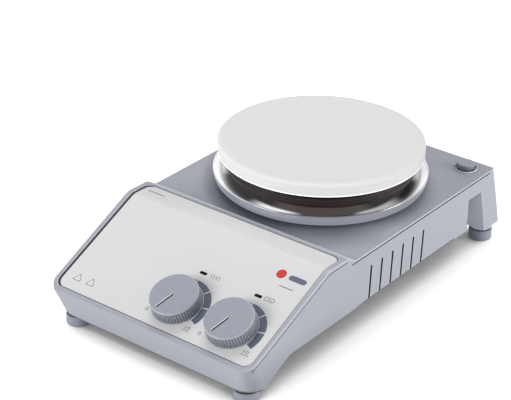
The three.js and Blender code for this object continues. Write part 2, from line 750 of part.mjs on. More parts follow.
// Upper face outwards, round the rim, and back along the lower face: r, z.
const DISH_PROFILE = [
  [30, 60.4], [59, 60.6], [64.8, 61.9], [67.8, 64.2], [69.4, 67.0],
  [70.4, DISH_RIM_Z], [DISH_R, DISH_RIM_Z - 0.5],
  [70.6, 64.4], [68.2, 61.1], [65.4, 59.9], [59, 59.3], [30, 59.2], [30, 60.4],
];
put(
  "drip_dish",
  cut(
    turned(DISH_PROFILE, 64, PLATE_AXIS),
    ...standoffHoles(),
    cylinder(CABLE_HOLE_R, CABLE, [50, 84], 16),
  ),
  finish.polished,
);
STANDOFFS.forEach((place, i) =>
  put(
    "plate_standoff_" + (i + 1),
    cylinder(STANDOFF_R, place, [TOP_Z + 0.1, 79.4], 16),
    finish.steel,
  ),
);
const SENSOR_PROFILE = [[0, 70], [1.5, 70], [1.5, 83.6], [0, 84.3]];
put("temperature_sensor", turned(SENSOR_PROFILE, 12, PLATE_AXIS), finish.steel);

// The cable drops from the heater stack to the power board: x, y, z.
const CABLE_R = 1.9;
const CABLE_ROUTE = [
  [...CABLE, 75.6], [...CABLE, 66], [...CABLE, 57], [-39, 46, 50],
  [-42, 20, 47], [-44, -8, 42], [-44, -24, 34], [-44, -28, 29.6],
];
function heaterCable() {
  const points = CABLE_ROUTE.map((point) => vector(...point));
  const route = new THREE.CatmullRomCurve3(points, false, "catmullrom", 0.5);
  const section = Array.from({ length: 8 }, (_, i) => {
    const angle = (i * Math.PI) / 4;
    return [CABLE_R * Math.cos(angle), CABLE_R * Math.sin(angle)];
  });
  const options = { steps: 22, extrudePath: route, bevelEnabled: false };
  return solid(new THREE.ExtrudeGeometry(shapeOf(section), options));
}
put("heater_cable", heaterCable(), finish.silicone);

// ---------------------------------------------------------------- electronics in the base
const BOARD_PARTS_Z = BOARD.z[1] - 0.1; // components are sunk a little into the board
put(
  "power_board",
  join(
    box(BOARD.x, BOARD.y, BOARD.z),
    box([-20, 14], [-66, -36], [BOARD_PARTS_Z, 45]), // mains transformer
    cylinder(6, [30, -60], [BOARD_PARTS_Z, 42], 16),
    cylinder(6, [45, -60], [BOARD_PARTS_Z, 42], 16),
    box([26, 50], [-34, -30], [BOARD_PARTS_Z, 44]), // heat sink of the triac
    box([-54, -30], [-46, -36], [BOARD_PARTS_Z, 38]), // terminal block
    box([22, 34], [-76, -70], [BOARD_PARTS_Z, 34]),
  ),
  finish.board,
);

// ---------------------------------------------------------------- motor
const CORE = { x: [-30, 30], y: [11, 89], z: [34, 49] };
const LIMB_Y = [76.5, CORE.y[1]]; // rear limb of the core, which carries the coil
const COIL_GAP = 0.4;

put(
  "motor_core",
  cut(
    box(CORE.x, CORE.y, CORE.z),
    cylinder(14.5, PLATE_AXIS, [30, 55], 40),
    box([-17.6, 17.6], [57, LIMB_Y[0]], [30, 55]),
    box([-0.8, 0.8], [50, 58], [30, 55]),
    ...MOTOR_SCREWS.map((place) => cylinder(1.9, place, [30, 55], 12)),
  ),
  finish.steel,
);
put(
  "motor_coil",
  cut(
    box([-17, 17], [71, 95.2], [29.2, 53.8]),
    box(CORE.x, grown(LIMB_Y, COIL_GAP), grown(CORE.z, COIL_GAP)),
  ),
  finish.copper,
);
const MOTOR_SCREW_PROFILE = [
  [0, 31.2], [2.4, 31.2], [2.9, 31.8], [2.9, 33.8], [1.45, 33.8], [1.45, 53.2], [0, 53.8],
];
MOTOR_SCREWS.forEach((place, i) =>
  put("motor_screw_" + (i + 1), turned(MOTOR_SCREW_PROFILE, 12, place), finish.steel),
);

// Cross strip with a foot at each end, towards the core.
const BRACKET_Y = [30, 42];
const bracket = (stripZ, footZ) =>
  cut(
    join(
      box([-29, 29], BRACKET_Y, stripZ),
      box([-29, -25.5], BRACKET_Y, footZ),
      box([25.5, 29], BRACKET_Y, footZ),
    ),
    cylinder(5.1, PLATE_AXIS, grown(stripZ, 5)),
  );
put("upper_bearing_bracket", bracket([51.6, 53.4], [49.2, 52]), finish.steel);
put("lower_bearing_bracket", bracket([29.6, 31.2], [30, 33.8]), finish.steel);

const SHAFT_R = 2.5;
const HUB_BORE = SHAFT_R + 0.06; // bore of the parts fixed on the shaft
const bearing = (z) => tube(SHAFT_R + 0.08, 5, z, 24, PLATE_AXIS);
put("upper_bearing", bearing([50.7, 54.2]), finish.brass);
put("lower_bearing", bearing([28.9, 32.2]), finish.brass);

// Everything that spins, in a group on the motor axis.
const stir = new THREE.Group();
stir.position.set(0, PLATE_Y, 0);
stirrer.add(stir);

const SHAFT_PROFILE = [
  [0, 24.1], [SHAFT_R - 0.3, 24.1], [SHAFT_R, 24.4], [SHAFT_R, 60.3], [0, 60.3],
];
put("motor_shaft", turned(SHAFT_PROFILE, 24), finish.steel, stir);
put("motor_rotor", tube(HUB_BORE, 13.9, [33.2, 49.8], 36), finish.steel, stir);

const FAN_BLADES = 7;
const BLADE_Z = 25.95;
const BLADE_PITCH = 0.35; // radians
function coolingFan() {
  const blades = Array.from({ length: FAN_BLADES }, (_, i) => {
    const matrix = new THREE.Matrix4()
      .makeRotationZ((i * 2 * Math.PI) / FAN_BLADES)
      .multiply(new THREE.Matrix4().makeTranslation(0, 0, BLADE_Z))
      .multiply(new THREE.Matrix4().makeRotationX(BLADE_PITCH));
    return box([6, 25], [-4, 4], [-0.5, 0.5], matrix);
  });
  return join(tube(HUB_BORE, 7, [24.3, 27.6], 24), ...blades);
}
put("cooling_fan", coolingFan(), finish.fan, stir);

const MAGNET_X = 17.5;
put(
  "magnet_carrier",
  cut(
    join(box([-25, 25], [-6.8, 6.8], [57.6, 60.6]), cylinder(6, [0, 0], [55.2, 58])),
    cylinder(HUB_BORE, [0, 0], [50, 62]),
  ),
  finish.fan,
  stir,
);
const magnet = (x) => cylinder(6, [x, 0], [60.7, 67]);
put("magnet_north", magnet(-MAGNET_X), finish.steel, stir);
put("magnet_south", magnet(MAGNET_X), finish.steel, stir);

// ---------------------------------------------------------------- mains entry and switch
const entry = new THREE.Group();
entry.position.y = ENTRY_Y;
rear.add(entry);

const INLET_CAVITY_Z = [-11.5, 5];
const PIN_SLOT_Z = [-20, 0];
// Opening for the mains connector, with its lower corners cut off.
const CONNECTOR_OUTLINE = [[-11.5, 10], [-11.5, 0], [-7.5, -5], [7.5, -5], [11.5, 0], [11.5, 10]].map(
  ([x, y]) => [INLET_X + x, y],
);
put(
  "mains_inlet",
  cut(
    join(
      box(around(INLET_X, 16), [-16, 14], [0.15, 2.0]),
      box(INLET_BODY.x, INLET_BODY.y, [-13.4, 1]),
    ),
    prismZ(CONNECTOR_OUTLINE, INLET_CAVITY_Z),
    box(around(INLET_X, 11), [-12.6, -6.6], INLET_CAVITY_Z),
    box(around(INLET_X - 4, 1), [3, 7], PIN_SLOT_Z),
    box(around(INLET_X + 4, 1), [3, 7], PIN_SLOT_Z),
    box(around(INLET_X, 1), [-1.5, 2.5], PIN_SLOT_Z),
  ),
  finish.black,
  entry,
);

// name, x from the middle of the inlet, y
const INLET_PINS = [["line", -4, 5], ["neutral", 4, 5], ["earth", 0, 0.5]];
for (const [name, x, y] of INLET_PINS) {
  const pin = box(around(INLET_X + x, 0.8), around(y, 1.8), [-17, -1.2]);
  put("inlet_pin_" + name, pin, finish.brass, entry);
}
put(
  "fuse_drawer",
  join(
    box(around(INLET_X, 10.7), [-12.3, -6.9], [-11.2, 2.2]),
    box(around(INLET_X, 3), [-12.3, -11.3], [2, 3.2]),
  ),
  finish.black,
  entry,
);
put(
  "switch_frame",
  cut(
    join(
      box(around(SWITCH_X, 9), [-12.5, 11.5], [0.15, 1.9]),
      box(SWITCH_BODY.x, SWITCH_BODY.y, [-13, 1]),
    ),
    box(around(SWITCH_X, 5.6), [-9.3, 8.3], [-11.5, 5]),
  ),
  finish.black,
  entry,
);

// The rocker pivots about its own X axis; it stands tipped to its off side.
const ROCKER_TIP_DEG = 7;
const ROCKER_OUTLINE = [
  [-8.4, 1.6], [0, 0.9], [8.4, 1.6], [8.4, -1.5], [6.5, -3.8],
  [3.2, -5.4], [-3.2, -5.4], [-6.5, -3.8], [-8.4, -1.5],
];
const rocker = put("power_rocker", prismX(ROCKER_OUTLINE, [-5.2, 5.2], 0.4), finish.black, entry);
rocker.position.set(SWITCH_X, -0.5, 0.6);
rocker.rotation.x = ROCKER_TIP_DEG * DEG;

// ---------------------------------------------------------------- support rod socket and plug
put("rod_socket", tube(4.3, 6.2, [47.6, 56.2], 24, ROD), finish.steel);
const PLUG_PROFILE = [
  [0, 49.5], [3.6, 49.5], [4.1, 50.2], [4.1, 56.6], [6.7, 56.6],
  [7.0, 56.9], [7.0, 59.8], [6.8, 60.3], [6.2, 60.6], [0, 60.7],
];
put("rod_socket_plug", turned(PLUG_PROFILE, 28, ROD), finish.knob);

export default stirrer;
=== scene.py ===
"""Analog hotplate stirrer: round heated plate on a wedge housing with two knobs on a sloping panel.

Meshes are drawn in millimetres in the frame's own axes and scaled to metres as they are finished.
X runs to the right, Y to the rear, Z up; the origin is the middle of the footprint, on the bench.
Shaders, lights and camera are in metres.
"""
import json
import math

import bmesh
import bpy
from mathutils import Matrix, Vector


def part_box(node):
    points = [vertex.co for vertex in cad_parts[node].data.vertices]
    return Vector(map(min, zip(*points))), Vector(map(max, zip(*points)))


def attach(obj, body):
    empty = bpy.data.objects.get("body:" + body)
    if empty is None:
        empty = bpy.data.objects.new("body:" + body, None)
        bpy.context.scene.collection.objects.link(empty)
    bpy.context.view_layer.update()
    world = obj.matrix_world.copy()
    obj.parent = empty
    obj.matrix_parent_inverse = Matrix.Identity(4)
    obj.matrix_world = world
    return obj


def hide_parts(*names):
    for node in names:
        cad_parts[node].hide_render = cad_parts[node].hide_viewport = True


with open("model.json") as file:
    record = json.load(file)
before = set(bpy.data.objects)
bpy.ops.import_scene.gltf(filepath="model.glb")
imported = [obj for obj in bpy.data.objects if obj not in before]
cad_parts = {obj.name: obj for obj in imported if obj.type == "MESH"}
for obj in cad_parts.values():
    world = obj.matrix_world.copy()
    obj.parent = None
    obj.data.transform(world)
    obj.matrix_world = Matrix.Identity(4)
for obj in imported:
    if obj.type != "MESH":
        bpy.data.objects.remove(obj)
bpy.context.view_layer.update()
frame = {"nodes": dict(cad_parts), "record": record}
NODES = frame["nodes"]
SLOT_OF = {part["node"]: part["material_slot"] for part in frame["record"]["subparts"]}
scene = bpy.context.scene
DEG = math.pi / 180


def box_mm(node):
    low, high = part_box(node)
    return low * 1000, high * 1000


# ---------------------------------------------------------------- dimensions, in mm
HALF = box_mm("upper_housing")[1].x  # half the width at the top edges
TOP_Z = 57.2
WALL = 2.6
SKIRT_Z, CHIN_Z, LEG_Z = 21.4, 8.0, 10.7  # undersides: middle, front chin, rear legs
NOSE_Y = -139.91
REAR_Y = 124.2  # rear face at the top
REAR_LEAN, SIDE_TAPER = 0.3312, 0.0435  # mm per mm of height
LEG_Y, LEG_RUN, LEG_RISE = 120.1, 11.2, 37.5  # front edge of the rear legs at the foot, its slope
LEG_IN = 62.0  # inner side of the rear legs

# Sloping panel: front edge, bend, and rear edge of the flat strip behind the bend
PANEL_Y0, PANEL_Z0 = -136.2, 28.7
BEND_Y, BEND_Z, BEND_R = -62.9, 62.1, 13.5
PANEL_Y1, PANEL_Z1 = -46.7, 61.6
TILT = math.atan2(BEND_Z - PANEL_Z0, BEND_Y - PANEL_Y0)
TILT_SIN, TILT_COS, TILT_TAN = math.sin(TILT), math.cos(TILT), math.tan(TILT)
STRIP_SLOPE = (PANEL_Z1 - BEND_Z) / (PANEL_Y1 - BEND_Y)
AHEAD_Y = -150  # clear of the nose, where the panel line is started
PANEL_AHEAD = (AHEAD_Y, PANEL_Z0 - (-AHEAD_Y + PANEL_Y0) * TILT_TAN)
RIM_H, RECESS_D = 0.4, 0.9
OVERLAY_HALF, OVERLAY_R, OVERLAY_T = 75.8, 5.5, 0.6
OVERLAY_INSET = {"left": 1.05, "front": 0.4}  # gap left between film and recess

# On the panel, u is the distance up the slope from the front edge
KNOB_U, KNOB_X, KNOB_R = 21.0, (7.1, 49.2), 15.9
KNOB_TOP, KNOB_BASE = 9.2, 0.6
KNOB_RIBS, POINTER_ANGLE = 56, 252 * DEG
SCALE_U, SCALE_X = 20.6, (8.5, 50.5)
LAMP_U, LAMP_X, LAMP_W, LAMP_H = 46.6, (8.0, 50.0), 5.0, 1.8

SLOT_Y0, SLOT_PITCH, SLOT_COUNT, SLOT_W, SLOT_TOP = -18.1, 11.6, 6, 1.8, 46.4
GROOVE_Z = 55.7
SCOOP_TOP = 45.2
# Plan (x, y) of the hollow in front of the right rear leg
SCOOP_LINE = [
    (80, 78), (79.8, 84), (79.2, 90), (78, 95.5), (75.8, 100),
    (72.6, 103.6), (68.5, 106.3), (64, 107.8), (62, 108.2),
]
ROD = (64.5, 112.0)  # axis of the rod socket
FRONT_FOOT, REAR_FOOT = (66.8, -125.6), (69.8, 129.0)
COVER_SCREWS = [(-68, -84), (68, -84), (-68, 60), (68, 60)]
MOTOR_SCREWS = [(-25, 15), (25, 84)]
SENSOR_HOLE = (-38, 52)  # bore through the deck, dish and insulation

plate_low, plate_high = box_mm("work_plate")
PLATE_Y = (plate_low.y + plate_high.y) / 2
PLATE_R = (plate_high.x - plate_low.x) / 2
STANDOFFS = [
    (36.5 * math.cos(a * DEG), PLATE_Y + 36.5 * math.sin(a * DEG)) for a in (90, 210, 330)
]

# Rear fittings, placed from a point on the leaning rear face
REAR_FIT_Z, REAR_FIT_V = 38, 3.0
INLET_X, SWITCH_X = 33, -30


# ---------------------------------------------------------------- outlines
def fillet(corners, steps=6, closed=True):
    """Polyline through corners (a, b, radius), each rounded by its radius."""
    out, count = [], len(corners)
    for i, (x, y, radius) in enumerate(corners):
        corner = Vector((x, y))
        if radius <= 0 or (not closed and i in (0, count - 1)):
            out.append((corner.x, corner.y))
            continue
        back = Vector(corners[i - 1][:2]) - corner
        ahead = Vector(corners[(i + 1) % count][:2]) - corner
        back_length, ahead_length = back.length, ahead.length
        back.normalize()
        ahead.normalize()
        angle = math.acos(max(-1, min(1, back.dot(ahead))))
        if angle > math.pi - 1e-3:
            out.append((corner.x, corner.y))
            continue
        reach = min(radius / math.tan(angle / 2), 0.49 * back_length, 0.49 * ahead_length)
        fitted = reach * math.tan(angle / 2)
        centre = corner + (back + ahead).normalized() * (fitted / math.sin(angle / 2))
        start, end = corner + back * reach - centre, corner + ahead * reach - centre
        angle0 = math.atan2(start.y, start.x)
        sweep = (math.atan2(end.y, end.x) - angle0 + math.pi) % (2 * math.pi) - math.pi
        for k in range(steps + 1):
            t = angle0 + sweep * k / steps
            out.append((centre.x + fitted * math.cos(t), centre.y + fitted * math.sin(t)))
    return out


def smooth_line(points, steps=5):
    """Catmull-Rom curve through 2D points."""
    out = []
    for i in range(len(points) - 1):
        p0 = Vector(points[max(i - 1, 0)])
        p1, p2 = Vector(points[i]), Vector(points[i + 1])
        p3 = Vector(points[min(i + 2, len(points) - 1)])
        for k in range(steps):
            t = k / steps
            q = 0.5 * (
                2 * p1 + (p2 - p0) * t + (2 * p0 - 5 * p1 + 4 * p2 - p3) * t * t
                + (3 * p1 - p0 - 3 * p2 + p3) * t ** 3
            )
            out.append((q.x, q.y))
    out.append(tuple(points[-1]))
    return out


def rounded_rect(x0, x1, y0, y1, radii, steps=12):
    """Counter-clockwise, corners in the order x1y1, x0y1, x0y0, x1y0; one radius or four."""
    if not isinstance(radii, tuple):
        radii = (radii,) * 4
    corners = ((x1, y1, 0), (x0, y1, 90), (x0, y0, 180), (x1, y0, 270))
    out = []
    for (x, y, angle0), radius in zip(corners, radii):
        side_x = -1 if x == x1 else 1
        side_y = -1 if y == y1 else 1
        for i in range(steps + 1):
            a = (angle0 + 90 * i / steps) * DEG
            out.append((x + side_x * radius + radius * math.cos(a),
                        y + side_y * radius + radius * math.sin(a)))
    return out


def centred_rect(x, half, y0, y1, radii, steps):
    return rounded_rect(x - half, x + half, y0, y1, radii, steps)


def stadium(x, y, width, height):
    half_w, half_h = width / 2, height / 2
    radius = min(width, height) / 2 * 0.999
    return rounded_rect(x - half_w, x + half_w, y - half_h, y + half_h, radius, 8)


def circle(radius, seg=48, x=0.0, y=0.0):
    turns = [2 * math.pi * i / seg for i in range(seg)]
    return [(x + radius * math.cos(a), y + radius * math.sin(a)) for a in turns]


def mirror(points):
    return [(-x, y) for x, y in reversed(points)]


# ---------------------------------------------------------------- places
# Each takes two outline coordinates and a height, and gives the point in the frame.
def on_z(a, b, c):
    return Vector((a, b, c))


def on_x(a, b, c):
    return Vector((c, a, b))


def on_panel(x, u, n):
    """u up the sloping panel, n out of it."""
    return Vector((x, PANEL_Y0 + u * TILT_COS - n * TILT_SIN,
                   PANEL_Z0 + u * TILT_SIN + n * TILT_COS))


def on_strip(x, y, n):
    """On the overlay's flat strip behind the bend."""
    return Vector((x, y, BEND_Z + (y - BEND_Y) * STRIP_SLOPE + n))


def back_y(z):
    return REAR_Y + (TOP_Z - z) * REAR_LEAN


def half_x(z):
    return HALF - max(0.0, TOP_Z - z) * SIDE_TAPER


REAR_HYP = math.hypot(1, REAR_LEAN)


def on_rear(x, v, n):
    """Seen from behind: x to the viewer's right, v up the rear face, n out of it."""
    v += REAR_FIT_V
    return Vector((
        -x,
        back_y(REAR_FIT_Z) - v * REAR_LEAN / REAR_HYP + n / REAR_HYP,
        REAR_FIT_Z + v / REAR_HYP + n * REAR_LEAN / REAR_HYP,
    ))


def off_panel(y, z, n):
    return (y - TILT_SIN * n, z + TILT_COS * n)


# ---------------------------------------------------------------- mesh code
def add_ring(bm, outline, height, place):
    return [bm.verts.new(place(a, b, height)) for a, b in outline]


def bridge(bm, lower, upper):
    """Quads between two rings of vertices."""
    count = len(lower)
    for i in range(count):
        j = (i + 1) % count
        bm.faces.new((lower[i], lower[j], upper[j], upper[i]))


def outward(bm):
    bmesh.ops.recalc_face_normals(bm, faces=bm.faces)
    return bm


def prism(outline, low, high, place=on_z):
    bm = bmesh.new()
    lower = add_ring(bm, outline, low, place)
    upper = add_ring(bm, outline, high, place)
    bm.faces.new(lower[::-1])
    bm.faces.new(upper)
    bridge(bm, lower, upper)
    return outward(bm)


def loft(sections, place=on_z):
    """Skin over outlines [(points, height)], closed by flat ends."""
    bm = bmesh.new()
    rings = [add_ring(bm, outline, height, place) for outline, height in sections]
    for lower, upper in zip(rings, rings[1:]):
        bridge(bm, lower, upper)
    bm.faces.new(rings[0][::-1])
    bm.faces.new(rings[-1])
    return outward(bm)


def lathe(profile, seg=96, x=0.0, y=0.0, place=on_z, ring=False, shape=None):
    """Turns [(r, z)] about the axis at x, y. shape(r, z, angle) may change the radius."""
    bm = bmesh.new()
    rings = []
    for r, z in profile:
        if r < 1e-6:
            rings.append([bm.verts.new(place(x, y, z))])
            continue
        row = []
        for i in range(seg):
            a = 2 * math.pi * i / seg
            radius = shape(r, z, a) if shape else r
            point = place(x + radius * math.cos(a), y + radius * math.sin(a), z)
            row.append(bm.verts.new(point))
        rings.append(row)
    pairs = list(zip(range(len(rings)), range(1, len(rings))))
    if ring:
        pairs.append((len(rings) - 1, 0))
    spare = []
    for p, q in pairs:
        lower, upper = rings[p], rings[q]
        if len(lower) > 1 and len(upper) > 1:
            bridge(bm, lower, upper)
            continue
        tip, rim = (lower[0], upper) if len(lower) == 1 else (upper[0], lower)
        if abs(profile[p][1] - profile[q][1]) < 1e-6:  # flat end: one face, no middle vertex
            bm.faces.new(rim)
            spare.append(tip)
        else:
            for i in range(seg):
                bm.faces.new((tip, rim[i], rim[(i + 1) % seg]))
    for vert in spare:
        bm.verts.remove(vert)
    return outward(bm)


def merge(*parts):
    """Puts separate closed meshes side by side in one."""
    out = bmesh.new()
    for part in parts:
        mesh = bpy.data.meshes.new("tmp")
        part.to_mesh(mesh)
        part.free()
        out.from_mesh(mesh)
        bpy.data.meshes.remove(mesh)
    return out


def block(x0, x1, y0, y1, z0, z1, place=on_z):
    return prism([(x0, y0), (x1, y0), (x1, y1), (x0, y1)], z0, z1, place)


def cylinder(radius, x, y, z0, z1, seg=48, place=on_z):
    return prism(circle(radius, seg, x, y), z0, z1, place)


def flat_band(outer, inner, low, high, place):
    """A closed band between two outlines with equal point counts."""
    bm = bmesh.new()
    edges = ((outer, low), (outer, high), (inner, high), (inner, low))
    rings = [add_ring(bm, outline, height, place) for outline, height in edges]
    for k in range(4):
        bridge(bm, rings[k], rings[(k + 1) % 4])
    return outward(bm)


def new_object(name, bm):
    mesh = bpy.data.meshes.new(name)
    bm.to_mesh(mesh)
    bm.free()
    ob = bpy.data.objects.new(name, mesh)
    scene.collection.objects.link(ob)
    return ob


def take(ob):
    """Removes a helper object and gives its mesh."""
    bm = bmesh.new()
    bm.from_mesh(ob.data)
    bpy.data.objects.remove(ob)
    return bm


def bake(ob):
    """Applies the object's modifiers."""
    bpy.context.view_layer.update()
    depsgraph = bpy.context.evaluated_depsgraph_get()
    mesh = bpy.data.meshes.new_from_object(ob.evaluated_get(depsgraph), depsgraph=depsgraph)
    ob.modifiers.clear()
    old, ob.data = ob.data, mesh
    bpy.data.meshes.remove(old)


def boolean(ob, bm, how="DIFFERENCE"):
    tool = new_object("tool", bm)
    mod = ob.modifiers.new("b", "BOOLEAN")
    mod.operation, mod.solver, mod.object = how, "EXACT", tool
    bake(ob)
    mesh = tool.data
    bpy.data.objects.remove(tool)
    bpy.data.meshes.remove(mesh)


def tidy(ob, dist=0.001):
    bm = bmesh.new()
    bm.from_mesh(ob.data)
    bmesh.ops.remove_doubles(bm, verts=bm.verts, dist=dist)
    bmesh.ops.dissolve_degenerate(bm, edges=bm.edges, dist=dist)
    bm.to_mesh(ob.data)
    bm.free()


def bevel(ob, width, seg=3, angle=38):
    mod = ob.modifiers.new("v", "BEVEL")
    mod.width, mod.segments = width, seg
    mod.limit_method, mod.angle_limit = "ANGLE", angle * DEG
    mod.use_clamp_overlap = True
    mod.miter_outer = "MITER_ARC"
    bake(ob)


def finish(ob, mat, replaces=None, body="chassis", smooth=34):
    """Millimetres to metres, shading, material, and its place in the frame.

    smooth is the sharp-edge angle in degrees.
    """
    ob.data.transform(Matrix.Scale(0.001, 4))
    ob.data.materials.clear()
    ob.data.materials.append(MAT[mat])
    ob.data.shade_smooth()
    ob.data.set_sharp_from_angle(angle=smooth * DEG)
    mod = ob.modifiers.new("normals", "WEIGHTED_NORMAL")
    mod.keep_sharp = True
    mod.weight = 60
    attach(ob, body)
    if replaces:
        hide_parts(replaces)


# ---------------------------------------------------------------- shader graphs
class Graph:
    """Adds nodes to a tree. Inputs take a value, or the output socket that feeds them."""

    def __init__(self, owner):
        owner.use_nodes = True
        self.tree = owner.node_tree

    def feed(self, socket, value):
        if isinstance(value, bpy.types.NodeSocket):
            self.tree.links.new(value, socket)
        else:
            socket.default_value = value

    def node(self, kind, out, *values, **named):
        """Returns the output called out, or all outputs for None.

        Lower-case names are node settings and come first; capitalised ones are inputs,
        with _ for a space. Plain values go to the inputs by number.
        """
        node = self.tree.nodes.new("ShaderNode" + kind)
        for key, value in named.items():
            if key.islower():
                setattr(node, key, value)
            else:
                self.feed(node.inputs[key.replace("_", " ")], value)
        for i, value in enumerate(values):
            self.feed(node.inputs[i], value)
        return node.outputs[out] if out else node.outputs

    def split(self, vector):
        return self.node("SeparateXYZ", None, vector)

    def calc(self, operation, *values):
        # The operation decides which inputs count, so it is set before they are fed.
        return self.node("Math", "Value", *values, operation=operation)

    def vector(self, operation, *values, out="Vector"):
        return self.node("VectorMath", out, *values, operation=operation)

    def scaled(self, vector, factor):
        return self.node("VectorMath", "Vector", vector, operation="SCALE", Scale=factor)

    def mix(self, factor, first, second):
        return self.node("Mix", "Result", data_type="RGBA", Factor=factor, A=first, B=second)

    def ramp(self, value, span, to=(0, 1), interpolation="LINEAR"):
        """Maps the span of value on to the range `to`, held at both ends."""
        return self.node("MapRange", "Result", interpolation_type=interpolation, Value=value,
                         From_Min=span[0], From_Max=span[1], To_Min=to[0], To_Max=to[1])

    def ease(self, value, span, to=(0, 1)):
        return self.ramp(value, span, to, "SMOOTHSTEP")

    def product(self, first, *others):
        for other in others:
            first = self.calc("MULTIPLY", first, other)
        return first

    def invert(self, value):
        return self.calc("SUBTRACT", 1.0, value)

    def add(self, first, second):
        return self.calc("ADD", first, second)

    def highest(self, first, second):
        return self.calc("MAXIMUM", first, second)


def flat_offset(g):
    """Horizontal vector from the plate's axis."""
    offset = g.vector("SUBTRACT", g.place, (0, PLATE_Y / 1000, 0))
    return g.vector("MULTIPLY", offset, (1, 1, 0))


def base_colour(bsdf):
    return bsdf.inputs["Base Color"].links[0].from_socket


def patchy_colour(g, tone, fine, color, mottle, speck, corner_shade, corner_shade_reach):
    scale = g.product(
        g.ramp(tone, (0.3, 0.7), to=(1 - mottle, 1 + mottle)),
        g.ramp(fine, (0.35, 0.65), to=(1 - speck, 1 + speck)),
    )
    # Painted shade: darker where ambient occlusion finds corners, recesses and gaps.
    if corner_shade:
        shade = g.node("AmbientOcclusion", "AO", samples=6, Distance=corner_shade_reach)
        scale = g.product(scale, g.ramp(shade, (0.15, 1.0), to=(1 - corner_shade, 1.0)))
    return g.scaled(color, scale)


def highlight_edges(g, colour, color, edge, edge_r, lit_edge):
    """Painted highlight: paler colour where the rounded normal departs from the true one."""
    rounded = g.node("Bevel", "Normal", samples=4, Radius=edge_r)
    normal = g.node("NewGeometry", "Normal")
    match = g.vector("DOT_PRODUCT", normal, rounded, out="Value")
    factor = g.ramp(match, (0.99, 0.8), to=(0.0, edge))
    edge_highlight = [min(1, c * 1.35 + 0.05) for c in color] + [1]
    if lit_edge:  # painted highlight in near white, only on edges turned to the right
        edge_highlight = (0.9, 0.9, 0.92, 1)
        factor = g.product(factor, g.ramp(g.split(rounded)["X"], (-0.1, 0.6)))
    return g.mix(factor, colour, edge_highlight)


def sheet_bands(g, scale, dark, light):
    """Colour of thin stacked layers seen on edge, with painted shade from the plate above darkening
    it above the insulation's middle.
    """
    wave = g.node("TexWave", "Fac", wave_type="BANDS", bands_direction="Z", Scale=scale,
                  Distortion=1.2, Detail=3, Detail_Scale=60, Vector=g.place)
    colour = g.mix(wave, dark + (1,), light + (1,))
    under_plate_shade = g.ease(g.split(g.place)["Z"], (0.0738, 0.0750), to=(1.0, 0.08))
    return g.scaled(colour, under_plate_shade)


def turned_marks(g, bsdf):
    """Fine circular tool marks about the plate's axis, in height and roughness."""
    radius = g.vector("LENGTH", flat_offset(g), out="Value")
    travel = g.calc("MULTIPLY_ADD", g.split(g.place)["Z"], 0.7, radius)
    lines = g.node("TexNoise", "Fac", noise_dimensions="1D", Scale=2600, Detail=4, W=travel)
    bump = g.node("Bump", "Normal", Strength=0.10, Distance=0.00004, Height=lines)
    g.feed(bsdf.inputs["Normal"], bump)
    g.feed(bsdf.inputs["Roughness"], g.ramp(lines, (0.3, 0.7), to=(0.08, 0.2)))


MAT = {}


def material(name, rough, color=None, metallic=0.0, grain=900.0, bump=0.06, depth=0.00006,
             mottle=0.03, patch=45.0, rough_var=0.05, speck=0.0, edge=0.0, edge_r=0.0007,
             coat=0.0, sheen=0.0, spec=0.5, corner_shade=0.0, corner_shade_reach=0.02, lit_edge=False,
             bands=None, turned=False, extra=None):
    """Painted, moulded or machined surface, stored in MAT under its name.

    patch and mottle: scale and strength of the broad patches. grain, bump, depth and speck:
    scale of the fine noise, its relief and its strength in colour. rough_var: spread of
    roughness. edge, edge_r and lit_edge: painted highlight on rounded edges. corner_shade and
    corner_shade_reach: painted shade in corners, recesses and gaps, and its reach. bands:
    settings of sheet_bands, in place of color. turned: tool marks in place of grain.
    extra(g, bsdf): further steps.
    """
    mat = bpy.data.materials.new(name)
    g = Graph(mat)
    bsdf = g.tree.nodes["Principled BSDF"]
    g.place = g.node("TexCoord", "Object")
    tone = g.node("TexNoise", "Fac", Scale=patch, Detail=5, Vector=g.place)
    fine = g.node("TexNoise", "Fac", Scale=grain, Detail=3, Roughness=0.6, Vector=g.place)
    if bands:
        colour = sheet_bands(g, **bands)
    else:
        colour = patchy_colour(g, tone, fine, color, mottle, speck, corner_shade, corner_shade_reach)
    if edge:
        colour = highlight_edges(g, colour, color, edge, edge_r, lit_edge)
    g.feed(bsdf.inputs["Base Color"], colour)
    if turned:
        turned_marks(g, bsdf)
    else:
        spread = (max(0.02, rough - rough_var), min(1, rough + rough_var))
        g.feed(bsdf.inputs["Roughness"], g.ramp(tone, (0.3, 0.7), to=spread))
        relief = g.node("Bump", "Normal", Strength=bump, Distance=depth, Height=fine)
        g.feed(bsdf.inputs["Normal"], relief)
    for key, value in (("Metallic", metallic), ("Coat Weight", coat), ("Coat Roughness", 0.12),
                       ("Sheen Weight", sheen), ("Specular IOR Level", spec)):
        bsdf.inputs[key].default_value = value
    if extra:
        extra(g, bsdf)
    MAT[name] = mat


